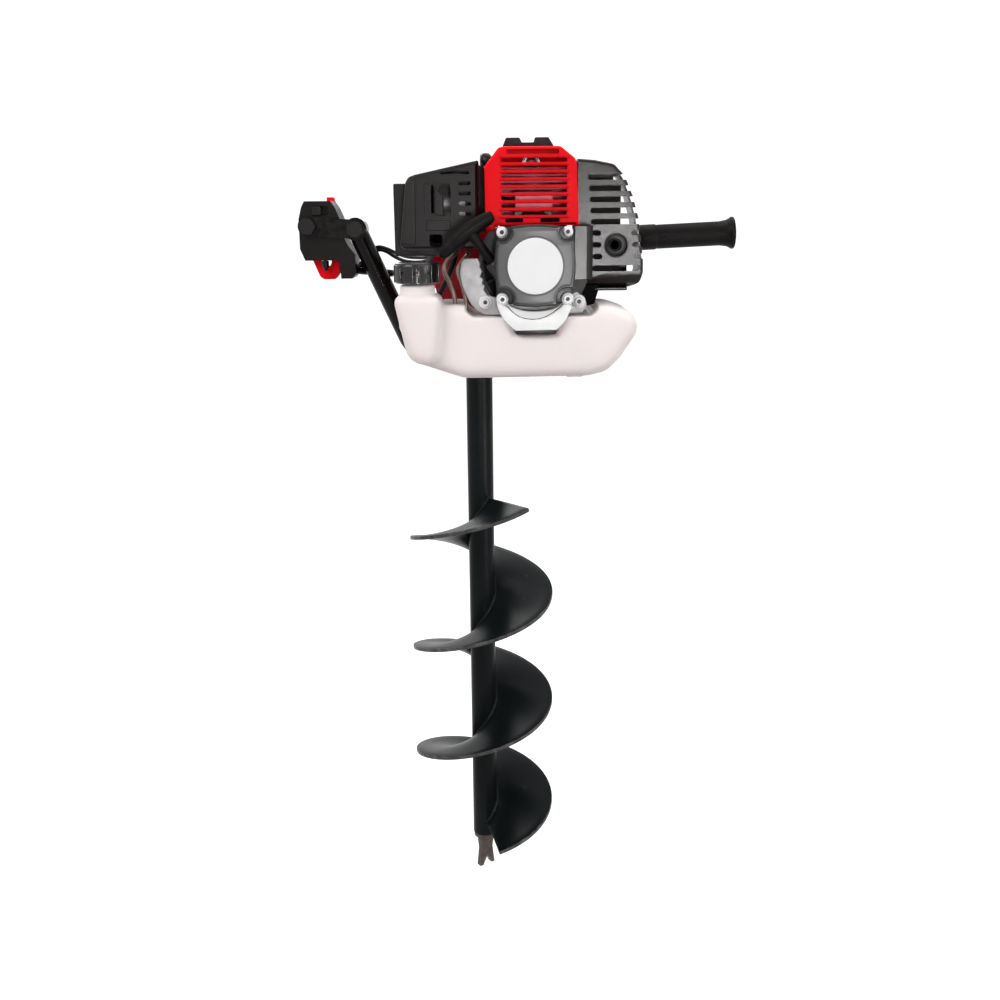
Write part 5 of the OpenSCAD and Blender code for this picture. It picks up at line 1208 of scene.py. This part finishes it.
routes = {
    "feed": [(-22, -190, 757), (-22, -190, 780), (-22, -190, 812), (-26, -190, 828), (-33, -186, 844),
             (-30, -170, 854), (-22, -153, 860), (-18, -142, 872), (-18, -139.5, 884), (-18, -139.5, 894.4)],
    "back": [(-10, -192, 790), (-10, -192, 812), (-13, -192, 828), (-18, -186, 844), (-13, -168, 854),
             (-8, -152, 860), (-6, -144, 872), (-6, -141.5, 884), (-6, -141.5, 894.4)],
    "hose": 2.5, "strainerAt": (-22, -190, 743),
    "strainer": [(0, 0), (6, 0), (7, 1), (7, 18), (6, 20), (3, 21.5), (0, 21.5)],
    "breather": [(-20, -112, 893), (-21, -112, 876), (-25, -112, 852), (-31, -109, 836), (-40, -102, 818),
                 (-48, -90, 803), (-51, -76, 796), (-50, -61, 794)],
    "breatherRadius": 3.4,
    "switch": [(-158, 54, 833), (-148, 62, 831.5), (-138, 69, 831), (-122, 70, 829), (-104, 58, 828),
               (-88, 36, 829), (-76, 4, 834), (-66, -34, 842), (-56, -66, 852), (-44, -84, 866),
               (-34, -90, 884)],
    "switchSleeve": 4.6, "switchSleeveTo": 0.36, "switchWire": 2.2,
    "strand": [(-157, 58, 836), (-150, 60, 845), (-141, 65, 857), (-130, 66, 862), (-118, 62, 859.5),
               (-105, 49, 854.5), (-90, 24, 851), (-74, -6, 851), (-60, -38, 853), (-48, -66, 861),
               (-38, -84, 874), (-34, -92, 884)],
    "strandRadius": 2.3,
    "cable": [(-156.6, 62, 832), (-151, 62.5, 834), (-144, 65, 843), (-137, 67.5, 854), (-129, 67.5, 858.5),
              (-119, 65, 856), (-107, 54, 849.5), (-92, 30, 845), (-75, 2, 845), (-61, -32, 848),
              (-50, -60, 857), (-38, -78, 872), (-28, -86, 888), (-23.4, -92, 896), (-23, -98.6, 897)],
    "cableRadius": 2.5, "cableSleeve": 1.9, "cableSleeveTo": 0.16, "ferrule": 0.9, "ferruleFrom": 0.965,
    "adjusterAt": (-196, 41.3, 846.5),
    "adjuster": [(0, -13), (2.0, -13), (2.5, -12), (2.5, -9), (4.3, -9), (4.6, -8.4), (4.6, -1.2),
                 (4.2, -0.4), (2.4, -0.4), (2.4, 8), (0, 8)],
    "lead": [(64, -69.2, 969.4), (64, -64, 971.4), (59, -57, 972), (44, -54, 966), (24, -62, 957),
             (11, -84, 952), (8.6, -112, 953), (8.6, -136, 962), (10.2, -151, 964.6), (18, -159, 952),
             (23, -173, 934), (29, -181, 922), (36, -184, 917), (43.6, -184, 916)],
    "leadRadius": 2.3, "grommet": 4.4, "grommetAt": 0.655, "grommetHalf": 0.030,
    "plugFrom": (64, -132, 940), "plugWay": (0, 0.906, 0.423),
    "plug": [(5.4, 41), (8.0, 41), (9.0, 42), (9.0, 50), (8.4, 51), (8.4, 60), (7.6, 66), (6.0, 69),
             (3.0, 71), (0, 71)]}


def makeRoutes():
    parts = [sweepMesh(smoothPath(routes[name]), routes["hose"], 16) for name in ("feed", "back")]
    parts.append(latheMesh(routes["strainer"], routes["strainerAt"], count=32))
    makePiece("fuelHoses", shaded(merged(parts), 50), "hose_plastic", "machine", ["fuel_hose"])

    breather = sweepMesh(smoothPath(routes["breather"]), routes["breatherRadius"], 16)
    makePiece("breatherHose", shaded(breather, 50), "cable_sheath", "machine", [])

    # wire of the stop switch, in a thick sleeve near the housing
    def switchRadius(t):
        return routes["switchSleeve"] if t < routes["switchSleeveTo"] else routes["switchWire"]

    wire = sweepMesh(smoothPath(routes["switch"], 8), switchRadius, 18)
    strand = sweepMesh(smoothPath(routes["strand"], 8), routes["strandRadius"], 16)
    makePiece("switchWire", shaded(merged([wire, strand]), 50), "cable_sheath", "machine", [])

    # throttle cable, thicker at each end, and the adjuster under the housing
    def cableRadius(t):
        sleeve = routes["cableSleeve"] if t < routes["cableSleeveTo"] else 0.0
        return routes["cableRadius"] + (routes["ferrule"] if t > routes["ferruleFrom"] else sleeve)

    cable = sweepMesh(smoothPath(routes["cable"], 8), cableRadius, 18)
    adjuster = latheMesh(routes["adjuster"], routes["adjusterAt"], count=6)
    mesh = shaded(merged([cable, adjuster], ownSlots=True), 50)
    makePiece("throttleCable", mesh, ["cable_sheath", "zinc_steel"], "machine", ["throttle_cable"])

    # ignition lead with its plug cap and the grommet at the cover
    def leadRadius(t):
        share = (t - routes["grommetAt"]) / routes["grommetHalf"]
        return routes["leadRadius"] + routes["grommet"] * math.exp(-share ** 4)

    lead = sweepMesh(smoothPath(routes["lead"], 10), leadRadius, 18)
    plug = latheMesh(routes["plug"], routes["plugFrom"], routes["plugWay"], 36)
    makePiece("ignitionLead", shaded(merged([lead, plug]), 50), "cable_sheath", "machine", ["ignition_lead"])


makeRoutes()
print("hoses, cable and lead made")


# Web under the gearbox and stay under the guard

webs = {"levels": [((-51, -58), (-19, -20), 823), ((-46, -53), (-19, -20), 791),
                   ((-26, -36), (-19, -20), 768)],
        "stay": [(113, 826), (138, 826), (131.5, 805), (122, 803), (111.5, 811)], "stayAt": (-168.0, -160.0)}


def makeWebs():
    corners = []
    for low, high, z in webs["levels"]:
        corners += [(x, y, z) for x in (low[0], high[0]) for y in (low[1], high[1])]
    web = softened(hullMesh(corners), 2.0, 3)
    makePiece("gearboxWeb", shaded(web, 40), "red_paint", "machine", [])
    stay = plateMesh([roundLoop(webs["stay"], 3)], *webs["stayAt"], 1.0, 3)
    makePiece("guardStay", shaded(stay, 40), "matt_black", "machine", [])


makeWebs()
print("web and stay made")


# Throttle trigger; its outlines are measured from its pin

trigger = {"x": -196.0, "y": 54.3, "z": 862.0, "deep": 12.0, "soft": 2.2, "pin": 2.5,
           "pinEnds": (-22.0, 21.0),
           "front": [(-17, 6), (-17, -15), (-9, -36), (-4, -40), (11, -40), (17, -32), (17, 6)],
           "corners": [1, 6, 6, 5, 6, 6, 1], "sideHalf": 19.0,
           "side": [(-7, 5), (6, 5), (7, -8), (4, -22), (6, -36), (3, -40), (-3, -40), (-6, -22), (-7, -8)],
           "notch": [(-7, -8), (-7, -24), (7, -24), (7, -8)], "notchCorners": [1, 6.9, 6.9, 1]}


def makeTrigger():
    x, y, z, deep, wide, r = (trigger[key] for key in ("x", "y", "z", "deep", "sideHalf", "pin"))

    def outline(key, across, corners, steps):
        return [roundLoop([(across + a, z + b) for a, b in trigger[key]], corners, steps)]

    tongue = plateMesh(outline("front", x, trigger["corners"], 6), y - deep, y + deep)
    side = plateMesh(outline("side", y, 2.0, 4), -wide, wide)
    side.transform(Matrix.Translation((x * mm, 0, 0)) @ quarterTurn)
    notch = plateMesh(outline("notch", x, trigger["notchCorners"], 8), y - deep - 2, y + deep + 2)
    body = carved(carved(tongue, [side], "INTERSECT"), [notch])
    body = softened(body, trigger["soft"], 3, 40)
    low, high = trigger["pinEnds"]
    pin = latheMesh([(0, low), (r, low), (r, high), (0, high)], (x, y, z), (1, 0, 0), 24)
    mesh = shaded(merged([body, pin]), 40)
    makePiece("throttleTrigger", mesh, "red_plastic", "trigger", ["throttle_trigger"])


makeTrigger()
print("trigger made")


# Clip on top of the cylinder cover, as deep as its solid

clip = {"loop": [(30.6, 971.4), (35, 982), (49.6, 982), (52, 977), (65, 977), (66, 982.2), (80.8, 982.2),
                 (87.6, 971.4)],
        "corners": [0.5, 2, 2, 1.5, 1.5, 2, 2, 0.5]}


def makeClip():
    low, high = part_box("top_clip")
    plate = plateMesh([roundLoop(clip["loop"], clip["corners"], 4)], low.y / mm, high.y / mm, 0.8, 3)
    makePiece("topClip", shaded(plate, 40), "black_plastic", "machine", ["top_clip"])


makeClip()
print("clip made")


# Every other solid keeps its own shape and gets rounded edges and its finish

# the cylinder and the coil under the red cover take crimson-tinted aluminium, a painted reflection of the
# cover's red light
dressing = {"weld": 0.01, "bevel": 0.6, "bevelAngle": 40.0, "smoothAngle": 35.0,
            "special": {"engine_cylinder": "aluminium_painted_red_bounce", "ignition_coil": "aluminium_painted_red_bounce",
                        "throttle_housing": "deep_plastic", "throttle_cover": "deep_plastic",
                        "air_filter_case": "filter_plastic", "flywheel": "muffler_steel"},
            "fine": {"handle_plate": 0.0, "recoil_spring": 0.0, "worm_shaft": 0.0, "worm_wheel": 0.0,
                     "throttle_housing": 1.6, "throttle_cover": 1.6, "lock_button": 1.2,
                     "air_filter_case": 1.6, "gearbox_body": 1.2, "gearbox_cover": 1.0,
                     "crankcase_front": 1.0, "crankcase_rear": 1.0}}


def dressSolid(name, slot):
    obj = nodes[name]
    look = finish[dressing["special"].get(name, slot)]
    if not obj.material_slots:
        obj.data.materials.append(look)
    for holder in obj.material_slots:
        holder.material = look
    if obj.hide_render:
        return
    weld = obj.modifiers.new("weld", "WELD")
    weld.merge_threshold = dressing["weld"] * mm
    width = dressing["fine"].get(name, dressing["bevel"])
    if width:
        addBevel(obj, width, 3 if width > 1 else 2, dressing["bevelAngle"])
    addTree(obj, smoothTree, {"Angle": math.radians(dressing["smoothAngle"])})
    evened(obj)


for entry in frame["record"]["subparts"]:
    dressSolid(entry["node"], entry["material_slot"])


# Floor, light and camera

studio = {"floorTone": 0.50, "floorClouds": 3.0, "floorSpread": 0.01, "floorFront": -8.0, "bend": 1.5,
          "sink": 0.0005, "glow": 0.85, "skyForLight": 0.46, "wallAt": 4.5, "wallHigh": 7.0, "wide": 12.0,
          "lamps": [("keyLamp", (-1.3, -1.5, 2.0), 1.2, 29.0), ("fillLamp", (1.5, -1.4, 1.3), 1.0, 16.0),
                    ("topLamp", (0.2, 0.2, 2.4), 1.2, 16.0), ("rearLamp", (-0.4, 1.7, 1.6), 1.0, 11.0),
                    ("frontLamp", (0.22, -1.67, 0.75), 0.22, 11.0),
                    ("lowLamp", (1.10, -1.05, 0.35), 0.50, 7.0),
                    ("panelLamp", (0.30, -1.67, 0.62), 0.50, 25.0)],
          "sheenOnly": ("frontLamp", "lowLamp", "panelLamp"), "panelOf": ("panelLamp", "mufflerGuard"),
          "aim": (0.03, -0.05, 0.6)}


def seenDirectly(tree):
    # one for what the camera, a reflection or a see-through surface sees of the surroundings
    ray = tree.nodes.new("ShaderNodeLightPath").outputs
    mirrored = mathNode(tree, "MAXIMUM", ray["Is Glossy Ray"], ray["Is Transmission Ray"])
    return mathNode(tree, "MAXIMUM", ray["Is Camera Ray"], mirrored)


def makeFloor():
    wall, high, bend, half = studio["wallAt"], studio["wallHigh"], studio["bend"], studio["wide"] / 2
    profile = [(studio["floorFront"], 0.0), (wall - bend, 0.0)]
    for i in range(1, 13):
        a = math.radians(90 * i / 12)
        profile.append((wall - bend + bend * math.sin(a), bend - bend * math.cos(a)))
    profile.append((wall, high))
    bm = bmesh.new()
    rows = [[bm.verts.new((x, y, z - studio["sink"])) for x in (-half, half)] for y, z in profile]
    for a, b in zip(rows, rows[1:]):
        bm.faces.new([a[0], a[1], b[1], b[0]])
    mesh = bpy.data.meshes.new("floor")
    bm.to_mesh(mesh)
    bm.free()
    floor = addObject("floor", mesh)
    material = bpy.data.materials.new("pale_floor")
    material.use_nodes = True
    tree = material.node_tree
    tree.nodes.remove(tree.nodes["Principled BSDF"])
    tone, spread = studio["floorTone"], studio["floorSpread"]
    clouds = rangeNode(tree, noiseNode(tree, studio["floorClouds"]), 0.3, 0.7, tone - spread, tone + spread)
    matt = addNode(tree, "ShaderNodeBsdfDiffuse", {"Color": clouds})
    strength = mathNode(tree, "MULTIPLY", seenDirectly(tree), studio["glow"])
    glow = addNode(tree, "ShaderNodeEmission", {"Strength": strength})
    both = addNode(tree, "ShaderNodeAddShader", {0: matt.outputs[0], 1: glow.outputs[0]})
    feed(tree, tree.nodes["Material Output"].inputs["Surface"], both.outputs[0])
    mesh.materials.append(material)


def makeWorld():
    world = bpy.data.worlds.new("studioWorld")
    bpy.context.scene.world = world
    world.use_nodes = True
    tree = world.node_tree
    sky = tree.nodes["Background"]
    feed(tree, sky.inputs["Color"], (1, 1, 1))
    strength = rangeNode(tree, seenDirectly(tree), 0.0, 1.0, studio["skyForLight"], 1.0)
    feed(tree, sky.inputs["Strength"], strength)


def makeLamps():
    for name, place, size, power in studio["lamps"]:
        lamp = bpy.data.lights.new(name, "AREA")
        lamp.shape = "SQUARE"
        lamp.size = size
        lamp.energy = power
        obj = addObject(name, lamp)
        obj.visible_diffuse = name not in studio["sheenOnly"]
        obj.location = place
        obj.rotation_euler = (Vector(studio["aim"]) - Vector(place)).to_track_quat("-Z", "Y").to_euler()
    # soft box that shines on the guard alone
    lampName, pieceName = studio["panelOf"]
    lit = bpy.data.collections.new("panelSheen")
    lit.objects.link(bpy.data.objects[pieceName])
    bpy.data.objects[lampName].light_linking.receiver_collection = lit


photo = {"place": (25.03, -1417.63, 906.42), "pitch": 14.58, "roll": 0.546, "focalShare": 1.113,
         "sensor": 36.0, "clip": 100.0}


def makeCamera():
    camera = bpy.data.cameras.new("photoCamera")
    camera.sensor_width = photo["sensor"]
    camera.lens = photo["sensor"] * photo["focalShare"]
    camera.clip_end = photo["clip"]
    obj = addObject("photoCamera", camera)
    tilt = Matrix.Rotation(math.radians(90 - photo["pitch"]), 4, "X")
    roll = Matrix.Rotation(math.radians(-photo["roll"]), 4, "Z")
    obj.matrix_world = Matrix.Translation(Vector(photo["place"]) * mm) @ tilt @ roll
    bpy.context.scene.camera = obj


makeFloor()
makeWorld()
makeLamps()
makeCamera()
bpy.context.scene.view_settings.view_transform = "Standard"
print("studio made")
